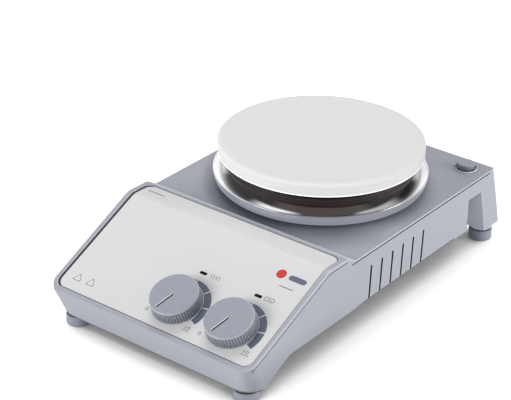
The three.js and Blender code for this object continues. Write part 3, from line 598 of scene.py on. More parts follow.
def housing_shade(g, bsdf):
    """Painted-in shade and light on the housing. Each mask is 0 to its strength."""
    ring_shade, recess_fill, edge_fill = 0.33, 0.13, 0.7
    normal_x, normal_y, normal_z = g.split(g.node("NewGeometry", "Normal"))
    x, y, z = g.split(g.place)

    def size(value):
        return g.calc("ABSOLUTE", value, 0.0)

    # Painted shade on faces turned to the left; painted highlight on the upper right edges.
    side = g.ramp(normal_x, (-0.62, -0.06), to=(0.40, 1.0))
    left_shaded = g.scaled(base_colour(bsdf), side)
    edge_highlight = g.product(g.ease(normal_x, (0.25, 0.6)), g.ease(normal_z, (0.25, 0.55)))
    bottom_edge_shade = g.ramp(z, (0.0087, 0.0092), to=(0.35, 1.0))  # painted shade: a dark line along the bottom edge

    # Shade round the plate on level faces: a wide part in front, a near one front left.
    flat = flat_offset(g)
    radius = g.vector("LENGTH", flat, out="Value")
    unit = g.vector("NORMALIZE", flat)
    front_left = g.vector("DOT_PRODUCT", unit, (-0.62, -0.78, 0), out="Value")
    ahead = g.vector("DOT_PRODUCT", unit, (0.1, -0.995, 0), out="Value")
    wide = g.product(g.ease(radius, (0.098, 0.072), to=(0, ring_shade)),
                     g.ease(ahead, (0.45, 0.85)))
    near = g.product(g.ease(radius, (0.081, 0.072), to=(0, 0.35)),
                     g.ease(front_left, (0.35, 0.8)))
    ring = g.product(g.invert(g.product(g.invert(wide), g.invert(near))),
                     g.ease(normal_z, (0.85, 0.97)))

    # Painted shade on the rear part of the deck, and on the low front part of the right side.
    deck = g.product(g.ease(normal_z, (0.9, 0.98), to=(0, 0.11)), g.ease(y, (-0.01, 0.06)))
    low = g.product(g.ease(z, (0.036, 0.012), to=(0, 0.24)), g.ease(normal_x, (0.3, 0.8)),
                    g.ease(y, (-0.02, -0.07)))

    # Painted shade on the walls of the vent slots, inward of the tapering sides.
    inward = g.add(g.product(g.calc("SUBTRACT", TOP_Z / 1000, z), SIDE_TAPER), size(x))
    face = HALF / 1000
    slot = g.product(
        g.ease(inward, (face - 0.0002, face - 0.0007), to=(0, 0.8)),
        g.ease(size(normal_y), (0.4, 0.7)),
        g.product(g.ease(y, (-0.021, -0.0195)), g.ease(y, (0.045, 0.043))),
    )
    # Painted shade along the lower edge of the sides between chin and rear legs.
    side_edge_shade = g.product(
        g.ease(z, (0.0227, 0.0222), to=(0, 0.72)),
        g.ease(y, (-0.040, -0.018)),
        g.product(g.ease(y, (0.081, 0.080)), g.ease(size(normal_x), (0.2, 0.5))),
    )
    dark = g.product(g.invert(ring), g.invert(deck), g.invert(side_edge_shade),
                     g.product(g.invert(low), g.invert(slot)))

    # Light on the step behind the panel and on the front faces of the rear legs.
    crest = g.product(g.ease(normal_y, (0.08, 0.3), to=(0, 0.20)),
                      g.ease(normal_z, (0.4, 0.7)), g.ease(y, (-0.034, -0.038)))
    recess = g.product(g.ease(y, (0.100, 0.106)), g.ease(normal_y, (-0.3, -0.7)), recess_fill)
    bsdf.inputs["Emission Color"].default_value = (0.86, 0.88, 1.0, 1)
    glow = g.add(g.add(recess, crest), g.product(edge_highlight, edge_fill))
    g.feed(bsdf.inputs["Emission Strength"], glow)
    lined = g.scaled(left_shaded, g.product(bottom_edge_shade, dark))
    g.feed(bsdf.inputs["Base Color"], g.mix(edge_highlight, lined, (0.80, 0.81, 0.83, 1)))


def plate_painted_light(g, bsdf):
    """Painted light on the plate: sides shaded a little duller than the top, a painted highlight
    along the lower edge, and a front lit lighter by painted glow.
    """
    side_tone, lower_edge_glint_strength, front_glow = 0.90, 0.45, 0.19
    _, normal_y, normal_z = g.split(g.node("NewGeometry", "Normal"))
    side = g.ramp(normal_z, (0.0, 1.0), to=(side_tone, 1.0))
    g.feed(bsdf.inputs["Base Color"], g.scaled(base_colour(bsdf), side))
    lower_edge_glint_span = ((plate_low.z + 1.35) / 1000, (plate_low.z + 0.75) / 1000)
    lower_edge_glint = g.ease(g.split(g.place)["Z"], lower_edge_glint_span, to=(0.0, lower_edge_glint_strength))
    on_side = g.calc("LESS_THAN", g.calc("ABSOLUTE", normal_z), 0.5)
    front = g.ramp(normal_y, (0.3, -0.8), to=(0.0, front_glow))
    bsdf.inputs["Emission Color"].default_value = (1, 1, 1, 1)
    g.feed(bsdf.inputs["Emission Strength"], g.add(g.product(lower_edge_glint, on_side), front))


CAMERA_AZIMUTH = 37.59 * DEG


def bowl_glow(g, bsdf):
    """Painted reflection of the pale room in the bowl's flanks, left and right from the camera."""
    flank_glow, brown_glow, lip_glow = 0.46, 0.14, 0.26
    flat = flat_offset(g)
    radius = g.vector("LENGTH", flat, out="Value")
    right = (math.cos(CAMERA_AZIMUTH), math.sin(CAMERA_AZIMUTH), 0)
    across = g.vector("DOT_PRODUCT", g.vector("NORMALIZE", flat), right, out="Value")

    def off_centre():
        return g.calc("ABSOLUTE", across)

    flank = g.product(g.ease(off_centre(), (0.45, 0.95), to=(0.0, flank_glow)),
                      g.ease(radius, (0.0605, 0.0675)))
    left_streak = g.product(
        g.ease(across, (-0.82, -0.6)), g.ease(across, (-0.2, -0.45)),
        g.product(g.ease(radius, (0.0530, 0.0565)),
                  g.ease(radius, (0.0635, 0.0600), to=(0, 0.85))))
    right_streak = g.product(
        g.ease(across, (0.3, 0.5), to=(0, 0.6)), g.ease(across, (0.9, 0.7)),
        g.product(g.ease(radius, (0.0535, 0.0570)),
                  g.ease(radius, (0.0640, 0.0600), to=(0, 0.7))))
    streak = g.add(left_streak, right_streak)
    normal_z = g.split(g.node("NewGeometry", "Normal"))["Z"]
    glow = g.product(g.add(flank, streak), g.ease(normal_z, (0.0, 0.2)))

    # Painted reflection of the brown insulation on the bowl's floor, and painted cool light along
    # the upright lip.
    shadow = g.highest(g.ease(radius, (0.0545, 0.0580), to=(1.0, 0.25)),
                       g.ease(across, (-0.15, -0.35)))
    brown = g.product(g.ease(normal_z, (0.1, 0.4)), shadow, brown_glow)
    lip = g.product(g.ease(normal_z, (0.15, 0.0), to=(0, lip_glow)),
                    g.ease(radius, (0.0655, 0.0690), to=(0.3, 1)))

    # Painted shade: steel darkened by place.
    wide = g.highest(g.ease(radius, (0.0575, 0.0650), to=(0.3, 1.0)),
                     g.ease(off_centre(), (0.75, 0.4)))
    keep = g.highest(g.ease(radius, (0.0686, 0.0692), to=(1.0, 0.42)),
                     g.ease(off_centre(), (0.75, 0.95), to=(0.0, 0.7)))
    keep = g.product(keep, wide)
    brown = g.product(brown, wide)
    g.feed(bsdf.inputs["Base Color"], g.scaled(base_colour(bsdf), keep))

    whiteness = g.highest(g.ease(glow, (0.0, 0.12)),
                          g.ease(off_centre(), (0.3, 0.7), to=(0, 0.8)))
    colour = g.mix(whiteness, (0.52, 0.44, 0.42, 1), (1, 1, 1, 1))
    colour = g.mix(g.ease(lip, (0.0, 0.05)), colour, (0.84, 0.86, 1.0, 1))
    g.feed(bsdf.inputs["Emission Color"], colour)
    g.feed(bsdf.inputs["Emission Strength"], g.add(g.add(glow, brown), lip))


# ---------------------------------------------------------------- materials
material("housing_paint", color=(0.385, 0.400, 0.452), rough=0.42, grain=1500, bump=0.10,
         depth=0.00005, mottle=0.012, patch=28, rough_var=0.04, speck=0.012, edge=0.9,
         edge_r=0.0009, coat=0.08, spec=0.45, corner_shade=0.30, corner_shade_reach=0.010, lit_edge=True,
         extra=housing_shade)
material("cover_paint", color=(0.30, 0.32, 0.35), rough=0.5, grain=1100, bump=0.14, edge=0.3)
material("overlay_film", color=(0.715, 0.717, 0.722), rough=0.46, grain=3200, bump=0.05,
         depth=0.00002, mottle=0.006, patch=18, rough_var=0.03, speck=0.004, spec=0.35)
material("lamp_window", color=(0.003, 0.003, 0.004), rough=0.45, grain=600, bump=0.05,
         mottle=0.1, spec=0.08)
material("plate_coating", color=(0.712, 0.712, 0.712), rough=0.45, grain=700, bump=0.04,
         depth=0.00003, mottle=0.004, patch=22, rough_var=0.04, speck=0.004, coat=0.03,
         spec=0.25, extra=plate_painted_light)
material("dish_steel", color=(0.60, 0.605, 0.65), rough=0.12, metallic=1.0, patch=60,
         turned=True, extra=bowl_glow)
material("insulation_board", rough=0.5, bump=0.3,
         bands={"scale": 520, "dark": (0.008, 0.003, 0.003), "light": (0.042, 0.022, 0.020)})
material("heater_metal", color=(0.018, 0.016, 0.015), rough=0.6, metallic=0.3, grain=500,
         bump=0.3, mottle=0.25)
material("steel", color=(0.52, 0.53, 0.54), rough=0.32, metallic=1.0, grain=1500, bump=0.08,
         mottle=0.08, rough_var=0.1)
material("knob_plastic", color=(0.318, 0.343, 0.396), rough=0.44, grain=2200, bump=0.07,
         depth=0.00003, mottle=0.01, patch=35, rough_var=0.04, speck=0.01, edge=0.9,
         edge_r=0.0005, spec=0.45, corner_shade=0.8, corner_shade_reach=0.006)
material("foot_rubber", color=(0.29, 0.31, 0.37), rough=0.62, grain=1300, bump=0.25,
         mottle=0.04, speck=0.03, rough_var=0.08, sheen=0.15, spec=0.35)
material("black_plastic", color=(0.018, 0.018, 0.020), rough=0.42, grain=1800, bump=0.18,
         mottle=0.15, speck=0.1, rough_var=0.07, edge=0.12, edge_r=0.0004)
material("circuit_board", color=(0.02, 0.14, 0.075), rough=0.38, grain=1500, bump=0.1,
         mottle=0.15, coat=0.3)
material("copper_winding", rough=0.32, metallic=0.9, bump=0.15,
         bands={"scale": 900, "dark": (0.28, 0.10, 0.03), "light": (0.62, 0.28, 0.11)})
material("bearing_bronze", color=(0.52, 0.34, 0.14), rough=0.36, metallic=1.0, grain=2200,
         bump=0.12, mottle=0.1)
material("contact_brass", color=(0.62, 0.47, 0.18), rough=0.25, metallic=1.0, grain=1500,
         mottle=0.08)
material("cable_silicone", color=(0.36, 0.06, 0.035), rough=0.55, grain=1500, bump=0.15,
         mottle=0.08, sheen=0.1)
material("fan_plastic", color=(0.035, 0.037, 0.042), rough=0.5, grain=1500, bump=0.15,
         mottle=0.1)
material("magnet_nickel", color=(0.62, 0.61, 0.58), rough=0.22, metallic=1.0, grain=1400,
         bump=0.05, mottle=0.06)
# Painted shade: dark strips laid in the housing's grooves.
material("seam_dark", color=(0.052, 0.056, 0.070), rough=0.6, grain=1800, bump=0.1,
         mottle=0.1, speck=0.05, spec=0.3)
# Paler copy of the knob colour: painted highlight on the knob's rim.
material("knob_trim", color=(0.42, 0.445, 0.50), rough=0.4, grain=2200, bump=0.05,
         depth=0.00003, mottle=0.02, speck=0.01)
# Painted shade for the gap round the overlay film.
material("seal_black", color=(0.022, 0.022, 0.032), rough=0.6, grain=2600, bump=0.1,
         mottle=0.15, speck=0.1)

# Printing inks: name, colour, roughness, variation in tone, specular level
for name, color, rough, variation, spec in (
    ("slate", (0.096, 0.118, 0.170), 0.5, 0.03, 0.5),
    ("grey", (0.33, 0.33, 0.33), 0.5, 0.05, 0.5),
    ("pale", (0.17, 0.17, 0.17), 0.5, 0.05, 0.5),
    ("dark", (0.045, 0.048, 0.06), 0.5, 0.05, 0.5),
    ("red", (0.56, 0.012, 0.012), 0.45, 0.03, 0.5),
    ("blue", (0.10, 0.11, 0.19), 0.45, 0.03, 0.5),
    ("black", (0.016, 0.018, 0.026), 0.6, 0.05, 0.2),
    ("white", (0.75, 0.75, 0.75), 0.45, 0.03, 0.5),
):
    material("ink_" + name, color=color, rough=rough, grain=2600, bump=0.05,
             mottle=variation, speck=variation, spec=spec)


# ---------------------------------------------------------------- housing: outer shape
def rim_point(y):
    """Point of the frame round the panel, seen from the side."""
    y0, z0 = off_panel(PANEL_Y0, PANEL_Z0, RIM_H)
    return y, z0 + (y - y0) * TILT_TAN


# Side view: y, z, corner radius
SIDE_VIEW = [
    (-133.5, CHIN_Z, 0),
    (*rim_point(NOSE_Y), 0),
    (*rim_point(BEND_Y - 0.15), BEND_R),
    (-44.4, 61.99, 2.2),
    (-36.0, TOP_Z, 2.4),
    (REAR_Y, TOP_Z, 0),
    (back_y(LEG_Z), LEG_Z, 0),
    (LEG_Y, LEG_Z, 0),
    (LEG_Y - (SKIRT_Z - LEG_Z) * LEG_RUN / LEG_RISE, SKIRT_Z, 0),
    (-98.9, SKIRT_Z, 6),
    (-113.6, 14.2, 10),
    (-123.8, CHIN_Z, 0),
]
# Plans by height: z, front y, front corner radius, rear corner radius
HULL_PLANS = [(0, -130.9, 15.5, 2.2), (8, -133.5, 13.5, 2.2), (26, -139.6, 8, 2.2),
              (70, -139.7, 8, 2.2)]
HOLLOW_PLANS = [(-6, -129.3, 14, 2), (8, -133.5, 12.4, 2), (26, -139.6, 5.4, 2),
                (70, -139.7, 5.4, 2)]


def plan_loft(plans, levels, inset, steps):
    """Loft with rings at the given levels, so the corner surfaces stay nearly flat."""
    sections = []
    for z in levels:
        for (z0, *lower), (z1, *upper) in zip(plans, plans[1:]):
            if z0 <= z <= z1:
                t = (z - z0) / (z1 - z0)
                front, front_r, rear_r = (a + (b - a) * t for a, b in zip(lower, upper))
                half = half_x(z) - inset
                outline = rounded_rect(-half, half, front + inset, back_y(z) - inset,
                                       (rear_r, rear_r, front_r, front_r), steps)
                sections.append((outline, z))
                break
    return loft(sections)


def scoop_plan(grow, steps=5):
    """Plan of the right scoop, its wall moved by grow."""
    line = smooth_line(SCOOP_LINE, steps)
    points = []
    for i, (x, y) in enumerate(line[:-1]):
        before, after = line[max(i - 1, 0)], line[i + 1]
        length = math.hypot(after[0] - before[0], after[1] - before[1])
        points.append((x - grow * (after[1] - before[1]) / length,
                       y + grow * (after[0] - before[0]) / length))
    points.append((line[-1][0] - grow, line[-1][1] - grow))
    return [(90, points[0][1])] + points + [(LEG_IN - grow, 160), (90, 160)]


casting = new_object("housing_casting", prism(fillet(SIDE_VIEW, 7), -HALF, HALF, on_x))
boolean(casting, plan_loft(HULL_PLANS, (0, 8, 14, 20, 26, 70), 0, 22), "INTERSECT")
boolean(casting, block(-LEG_IN, LEG_IN, 60, 160, 0, SKIRT_Z))

# Scoops in the sides, stopping at the sloping front of each rear leg.
LEG_SIDE_VIEW = [
    (LEG_Y - LEG_RUN - 4, LEG_Z + LEG_RISE + 4 * LEG_RISE / LEG_RUN),
    (LEG_Y + 3, LEG_Z - 3 * LEG_RISE / LEG_RUN),
    (170, -10),
    (170, 70),
]
for side, plan in ((1, scoop_plan(0)), (-1, mirror(scoop_plan(0)))):
    scoop = new_object("scoop", prism(plan, -10, SCOOP_TOP))
    boolean(scoop, prism(LEG_SIDE_VIEW, *sorted((side * 40, side * 95)), on_x))
    boolean(casting, take(scoop))
tidy(casting, 0.002)
bevel(casting, 0.85, seg=4)
tidy(casting)

# ---------------------------------------------------------------- housing: inside
# The room is cut out of the casting with its bosses left standing.
UNDER_PANEL = RECESS_D + 2.2
inside = [
    (AHEAD_Y, -6), (AHEAD_Y, 20),
    off_panel(*PANEL_AHEAD, -UNDER_PANEL),
    off_panel(BEND_Y - 0.7, BEND_Z - 0.7 * TILT_TAN, -UNDER_PANEL),
    (PANEL_Y1 + 1.0, PANEL_Z1 - UNDER_PANEL),
    (-38.2, TOP_Z - WALL), (160, TOP_Z - WALL), (160, -6),
]
room = new_object("room", prism(inside, -HALF, HALF, on_x))
boolean(room, plan_loft(HOLLOW_PLANS, (-6, 8, 26, 70), WALL, 8), "INTERSECT")
for plan in (scoop_plan(WALL, 2), mirror(scoop_plan(WALL, 2))):
    boolean(room, prism(plan, -10, SCOOP_TOP + WALL))
boolean(room, merge(
    *[cylinder(8.3, side * FRONT_FOOT[0], FRONT_FOOT[1], CHIN_Z + 0.2, 23, 32)
      for side in (1, -1)],
    *[cylinder(4, x, y, 23.2, 60, 20) for x, y in COVER_SCREWS],
    *[cylinder(3.6, x, y, 49.3, 60, 20) for x, y in MOTOR_SCREWS],
    cylinder(9, *ROD, 46, 60, 32),
))
tidy(room, 0.002)
boolean(casting, take(room))


# ---------------------------------------------------------------- housing: recess and grooves
def panel_line(drop, end_y=-30.0):
    """Side view of the panel surface round the bend, lowered by drop."""
    end_z = PANEL_Z1 - STRIP_SLOPE * (PANEL_Y1 - end_y) - drop
    return fillet([
        (*off_panel(*PANEL_AHEAD, -drop), 0),
        (*off_panel(BEND_Y, BEND_Z, -drop), BEND_R - drop),
        (end_y, end_z, 0),
    ], steps=8, closed=False)


def overlay_plan(grow, steps, left=0.0, front=0.0):
    return rounded_rect(-OVERLAY_HALF - grow + left, OVERLAY_HALF + grow,
                        PANEL_Y0 - grow + front, PANEL_Y1 + grow, OVERLAY_R + grow, steps)


recess = new_object("recess", prism(panel_line(RECESS_D) + [(-30, 95), (AHEAD_Y, 95)],
                                    -HALF - 5, HALF + 5, on_x))
boolean(recess, prism(overlay_plan(0.5, 14), 0, 90), "INTERSECT")
boolean(casting, take(recess))


def ribbon(line, width):
    upper = [(y, z + width / 2) for y, z in line]
    return upper + [(y, z - width / 2) for y, z in reversed(line)]


def slot_outline(y):
    """Side view of a vent slot, open below and round at the top."""
    half = SLOT_W / 2 + 0.2
    top = [(y + half * math.cos(a * DEG), SLOT_TOP - half + half * math.sin(a * DEG))
           for a in range(0, 181, 30)]
    return [(y - half, 10), (y + half, 10)] + top


frame_groove = fillet([(-135.0, 26.95, 0), (-110, 38.35, 0), (-63.2, 59.7, 9),
                       (-45.2, 60.0, 0)], closed=False)
for side in (-1, 1):
    def side_cut(outline, depth, side=side):
        return prism(outline, *sorted((side * (HALF - depth), side * (HALF + 3))), on_x)

    boolean(casting, merge(
        side_cut(ribbon([(-40.0, GROOVE_Z), (118.8, GROOVE_Z)], 1.15), 2.1),
        side_cut(ribbon(frame_groove, 0.95), 2.2),
    ))
    boolean(casting, merge(*[
        side_cut(slot_outline(SLOT_Y0 + SLOT_PITCH * i), 8) for i in range(SLOT_COUNT)
    ]))

# ---------------------------------------------------------------- housing: collar and holes
# Collar of the rod socket, with a fine groove round it.
boolean(casting, cylinder(8.7, *ROD, 56.6, 70, 64))
collar = fillet([(8.2, 55.3, 0), (8.2, 57.9, 0.3), (0, 57.9, 0)], 4, False)
boolean(casting, lathe([(0, 55.3), (8.2, 55.3)] + collar[1:], 64, *ROD), "UNION")
boolean(casting, cylinder(7.2, *ROD, 56.3, 70, 64))
boolean(casting, merge(
    cylinder(6.3, *ROD, 47.2, 58, 32),
    cylinder(28, 0, PLATE_Y, 50, 70, 72),
    cylinder(3, *SENSOR_HOLE, 50, 70, 20),
    *[cylinder(4.8, x, KNOB_U, -12, 6, 32, on_panel) for x in KNOB_X],
    *[block(x - 3, x + 3, LAMP_U - 1.4, LAMP_U + 1.4, -12, 6, on_panel) for x in LAMP_X],
    *[cylinder(2, side * FRONT_FOOT[0], FRONT_FOOT[1], 0, 21, 16) for side in (-1, 1)],
    *[cylinder(2, side * REAR_FOOT[0], REAR_FOOT[1], 0, 26, 16) for side in (-1, 1)],
    *[cylinder(1.6, x, y, 20, 36, 16) for x, y in COVER_SCREWS],
    *[cylinder(1.6, x, y, 45, 54.2, 16) for x, y in MOTOR_SCREWS],
))
boolean(casting, merge(
    prism(centred_rect(INLET_X, 14.3, -14.3, 12.3, 1, 3), -12, 6, on_rear),
    prism(centred_rect(SWITCH_X, 7.3, -10.8, 9.8, 1, 3), -12, 6, on_rear),
))
tidy(casting)
finish(casting, "housing_paint", "upper_housing", smooth=30)

# Dark strips lying in the grooves as painted shade, following the lean of the sides.
strips = []
for side in (-1, 1):
    low, high = sorted((side * (HALF - 2.0), side * (HALF - 0.32)))
    for line, width in (([(-39.6, GROOVE_Z), (118.4, GROOVE_Z)], 1.1), (frame_groove, 0.9)):
        strip = prism(ribbon(line, width), low, high, on_x)
        for vert in strip.verts:
            vert.co.x -= side * max(0.0, TOP_Z - vert.co.z) * SIDE_TAPER
        strips.append(strip)
finish(new_object("housing_seam_strips", merge(*strips)), "seam_dark")


# ---------------------------------------------------------------- control overlay
def panel_sheet(name, top, bottom):
    """Sheet over the whole panel between two depths."""
    outline = panel_line(top, -40.0) + panel_line(bottom, -40.0)[::-1]
    return new_object(name, prism(outline, -HALF, HALF, on_x))


film = panel_sheet("overlay_film_sheet", 0.0, OVERLAY_T)
boolean(film, prism(overlay_plan(0, 18, **OVERLAY_INSET), 0, 90), "INTERSECT")
tidy(film)
bevel(film, 0.12, seg=2, angle=50)
boolean(film, merge(
    *[cylinder(5.2, x, KNOB_U, -5, 5, 48, on_panel) for x in KNOB_X],
    *[prism(centred_rect(x, 2.7, LAMP_U - 1.1, LAMP_U + 1.1, 0.95, 6), -5, 5, on_panel)
      for x in LAMP_X],
))
finish(film, "overlay_film", "control_overlay")

# A black sheet in the gap round the film, as painted shade in that gap.
gap_shade = panel_sheet("overlay_seal", 0.12, RECESS_D - 0.02)
boolean(gap_shade, prism(overlay_plan(0.48, 18), 0, 90), "INTERSECT")
boolean(gap_shade, prism(overlay_plan(0.02, 18, **OVERLAY_INSET), 0, 90))
tidy(gap_shade)
finish(gap_shade, "seal_black")

# ---------------------------------------------------------------- printing on the overlay
INK_LOW, INK_HIGH = 0.002, 0.03  # height of the ink over its surface


def printed(outline, place=on_panel, high=INK_HIGH):
    return prism(outline, INK_LOW, high, place)


def ink(name, mat, *parts, smooth=30):
    finish(new_object(name, merge(*parts)), mat, smooth=smooth)


def arc_block(x, angle0, angle1, inner0, inner1, outer, steps=18):
    """Printed block of a scale; angles in degrees, inner radius given at both ends."""
    points = []
    for i in range(steps + 1):
        a = (angle0 + (angle1 - angle0) * i / steps) * DEG
        points.append((x + outer * math.cos(a), SCALE_U + outer * math.sin(a)))
    for i in range(steps, -1, -1):
        t = i / steps
        radius = inner0 + (inner1 - inner0) * t
        a = (angle0 + (angle1 - angle0) * t) * DEG
        points.append((x + radius * math.cos(a), SCALE_U + radius * math.sin(a)))
    return printed(points)


def stroke(x0, u0, x1, u1, width):
    d = Vector((x1 - x0, u1 - u0)).normalized() * (width / 2)
    return printed([(x0 + d.y, u0 - d.x), (x1 + d.y, u1 - d.x),
                    (x1 - d.y, u1 + d.x), (x0 - d.y, u0 + d.x)])


def loop(x, u, width, height, line):
    return flat_band(stadium(x, u, width, height),
                     stadium(x, u, width - 2 * line, height - 2 * line),
                     INK_LOW, INK_HIGH, on_panel)


def digit_one(x, u):
    height = 2.3
    return stroke(x, u - height / 2, x, u + height / 2, 0.45)


def wavy_stroke(x, u, height=3.0, swing=0.32, width=0.5, steps=14):
    left, right = [], []
    for i in range(steps + 1):
        level = u - height / 2 + height * i / steps
        middle = x + swing * math.sin(2 * math.pi * i / steps)
        left.append((middle - width / 2, level))
        right.append((middle + width / 2, level))
    return printed(right + left[::-1])


def triangle(x, u, size=3.4, line=0.32):
    def outline(k):
        return fillet([(x - k, u - k * 0.58, 0.7), (x + k, u - k * 0.58, 0.7),
                       (x, u + k * 1.155, 0.7)], 4)
    return flat_band(outline(size), outline(size - line * 1.8), INK_LOW, INK_HIGH, on_panel)


# Blocks of a scale: start and end angle, inner radius at each, outer radius
SCALE_BLOCKS = [
    (128, 92.6, 18.2, 17.2, 20.0),
    (90.0, 54.8, 17.0, 15.9, 20.1),
    (52.2, 15.2, 15.75, 15.25, 20.15),
    (12.6, -24, 15.25, 15.6, 20.1),
]
for name, x in zip(("heat", "speed"), SCALE_X):
    ink(name + "_scale_print", "ink_slate", *[arc_block(x, *row) for row in SCALE_BLOCKS])
ink("dial_zero_print", "ink_pale",
    loop(-8.2, 9.6, 1.9, 2.6, 0.42), loop(33.4, 8.6, 1.9, 2.6, 0.42))
ink("dial_end_print", "ink_pale",
    digit_one(22.9, 8.3), loop(25.2, 8.3, 1.9, 2.4, 0.42), stroke(21.6, 6.3, 27.2, 6.3, 0.35),
    digit_one(66.2, 9.4), loop(68.5, 9.4, 1.9, 2.4, 0.42), stroke(65.0, 7.2, 70.8, 7.2, 0.35))
ink("heat_symbol_print", "ink_pale", *[wavy_stroke(14.2 + 1.9 * i, 46.9) for i in range(4)])
ink("stir_symbol_print", "ink_pale",
    loop(58.0, 46.9, 7.6, 2.9, 0.42), stroke(56.2, 46.9, 59.8, 46.9, 0.35))
ink("corner_triangle_print", "ink_pale", triangle(-64.6, 9.6), triangle(-54.2, 10.0))
ink("accent_dot_print", "ink_red", printed(circle(3.3, 40, 53.4, 66.4)))
ink("accent_bar_print", "ink_blue", printed(rounded_rect(59.2, 71.8, 64.5, 68.3, 1.9, 8)))
ink("accent_line_print", "ink_pale", stroke(57.0, 58.6, 67.0, 58.6, 0.6))
ink("strip_line_print", "ink_dark",
    block(-70.4, -69.2, -53.9, -52.7, INK_LOW, INK_HIGH, on_strip),
    block(-68.6, -57.6, -53.65, -52.95, INK_LOW, INK_HIGH, on_strip), smooth=34)

# ---------------------------------------------------------------- lamp windows
# Small black lenses let into the film, each with a flange under the housing's skin.
for node_name, x in zip(("heat_lamp_window", "stir_lamp_window"), LAMP_X):
    def lens_outline(inset, radius, x=x):
        return centred_rect(x, LAMP_W / 2 - inset, LAMP_U - LAMP_H / 2 + inset,
                            LAMP_U + LAMP_H / 2 - inset, radius, 8)

    rim, top = lens_outline(0, 0.88), lens_outline(0.15, 0.73)
    lens = new_object(node_name + "_lens",
                      loft([(rim, -4.6), (rim, -0.03), (top, 0.12)], on_panel))
    flange = centred_rect(x, 3.6, LAMP_U - 2, LAMP_U + 2, 0.5, 3)
    boolean(lens, prism(flange, -5.6, -4.5, on_panel), "UNION")
    finish(lens, "lamp_window", node_name)

# ---------------------------------------------------------------- knobs
FLUTE_TOP, FLUTE_BASE, FLUTE_DEPTH = 8.0, 0.9, 0.62


def ribbed(r, z, a):
    """Flutes round the side, fading out at top and base."""
    if r < 15.3 or z > FLUTE_TOP or z < FLUTE_BASE:
        return r
    fade = min(1.0, (FLUTE_TOP - z) / 0.5, (z - FLUTE_BASE) / 0.5 + 0.2)
    return r - FLUTE_DEPTH * fade * (0.5 - 0.5 * math.cos(KNOB_RIBS * a)) ** 1.6


def knob_profile():
    """(radius, height) over the top, down the side and up the hollow inside."""
    shoulder = fillet([(12, KNOB_TOP, 0), (14.75, KNOB_TOP, 0.5),
                       (15.62, KNOB_TOP - 0.95, 0.45), (16.1, 1.2, 0)], 5, False)
    line = [(0, KNOB_TOP), (12, KNOB_TOP)] + shoulder[1:-1]
    r, z = line[-1]
    line += [(r + (16.2 - r) * t, z + (0.95 - z) * t)
             for t in (0.04, 0.08, 0.16, 0.4, 0.6, 0.8, 0.93, 1.0)]
    return line + [
        (16.1, 0.65), (15.9, KNOB_BASE), (13.4, KNOB_BASE), (13.2, 0.8), (13.2, 6.4),
        (5.4, 6.4), (5.4, 2.9), (3.06, 2.9), (3.06, 7.0), (0, 7.0),
    ]


# Thin ring over the knob's chamfer in a paler colour: painted highlight on the rim.
RIM_HIGHLIGHT_PROFILE = [(14.7, KNOB_TOP - 0.7), (15.02, KNOB_TOP - 0.27), (15.61, KNOB_TOP - 0.91),
                (15.64, KNOB_TOP - 1.1), (15.3, KNOB_TOP - 1.3)]
# Pointer inlays: name, material, edges across the pointer, corner radius, depth of the top. The
# white inlay along the groove's upper edge is a painted highlight.
INLAYS = [("_knob_pointer", "ink_black", -0.31, 0.77, 0.25, 0.03),
          ("_knob_pointer_light", "ink_white", -0.92, -0.33, 0.2, 0.04)]
for name, x in zip(("heat", "speed"), KNOB_X):
    body = name + "_control"

    def along_pointer(outline, low, high, x=x):
        """Prism over an outline given along and across the pointer."""
        dx, dy = math.cos(POINTER_ANGLE), math.sin(POINTER_ANGLE)
        points = [(x + dx * r - dy * w, KNOB_U + dy * r + dx * w) for r, w in outline]
        return prism(points, low, high, on_panel)

    cap = new_object(name + "_knob_cap", lathe(knob_profile(), KNOB_RIBS * 10, x, KNOB_U,
                                               on_panel, shape=ribbed))
    rim_highlight = lathe(RIM_HIGHLIGHT_PROFILE, 144, x, KNOB_U, on_panel, ring=True)
    finish(new_object(name + "_knob_trim", rim_highlight), "knob_trim", body=body)
    groove = rounded_rect(0.2, KNOB_R - 3.0, -0.95, 0.8, 0.5, 6)
    boolean(cap, along_pointer(groove, KNOB_TOP - 0.9, KNOB_TOP + 0.5))
    finish(cap, "knob_plastic", name + "_knob", body=body, smooth=50)
    for suffix, mat, edge0, edge1, radius, depth in INLAYS:
        outline = rounded_rect(0.25, KNOB_R - 3.05, edge0, edge1, radius, 5)
        inlay = along_pointer(outline, KNOB_TOP - 0.88, KNOB_TOP - depth)
        finish(new_object(name + suffix, inlay), mat, body=body)


# ---------------------------------------------------------------- hotplate
def disc_piece(name, profile, mat, node_name, cut, seg=192, ring=False):
    ob = new_object(name, lathe(profile, seg, 0, PLATE_Y, ring=ring))
    boolean(ob, cut)
    finish(ob, mat, node_name)


def standoff_holes(z0, z1):
    return merge(*[cylinder(4.2, x, y, z0, z1, 24) for x, y in STANDOFFS])


PLATE_BASE, PLATE_TOP = plate_low.z, plate_high.z
EDGE_RUN, EDGE_DROP = 4.2, 1.5  # elliptical rounding of the plate's upper edge
disc_piece(
    "work_plate_disc",
    [(0, PLATE_BASE)]
    + fillet([(60, PLATE_BASE, 0), (PLATE_R, PLATE_BASE, 0.5),
              (PLATE_R, PLATE_TOP - EDGE_DROP, 0)], 5, False)
    + [(PLATE_R - EDGE_RUN + EDGE_RUN * math.cos(a * DEG),
        PLATE_TOP - EDGE_DROP + EDGE_DROP * math.sin(a * DEG)) for a in range(9, 91, 9)]
    + [(0, PLATE_TOP)],
    "plate_coating", "work_plate", cylinder(1.8, 0, PLATE_Y, 70, 84.6, 24))

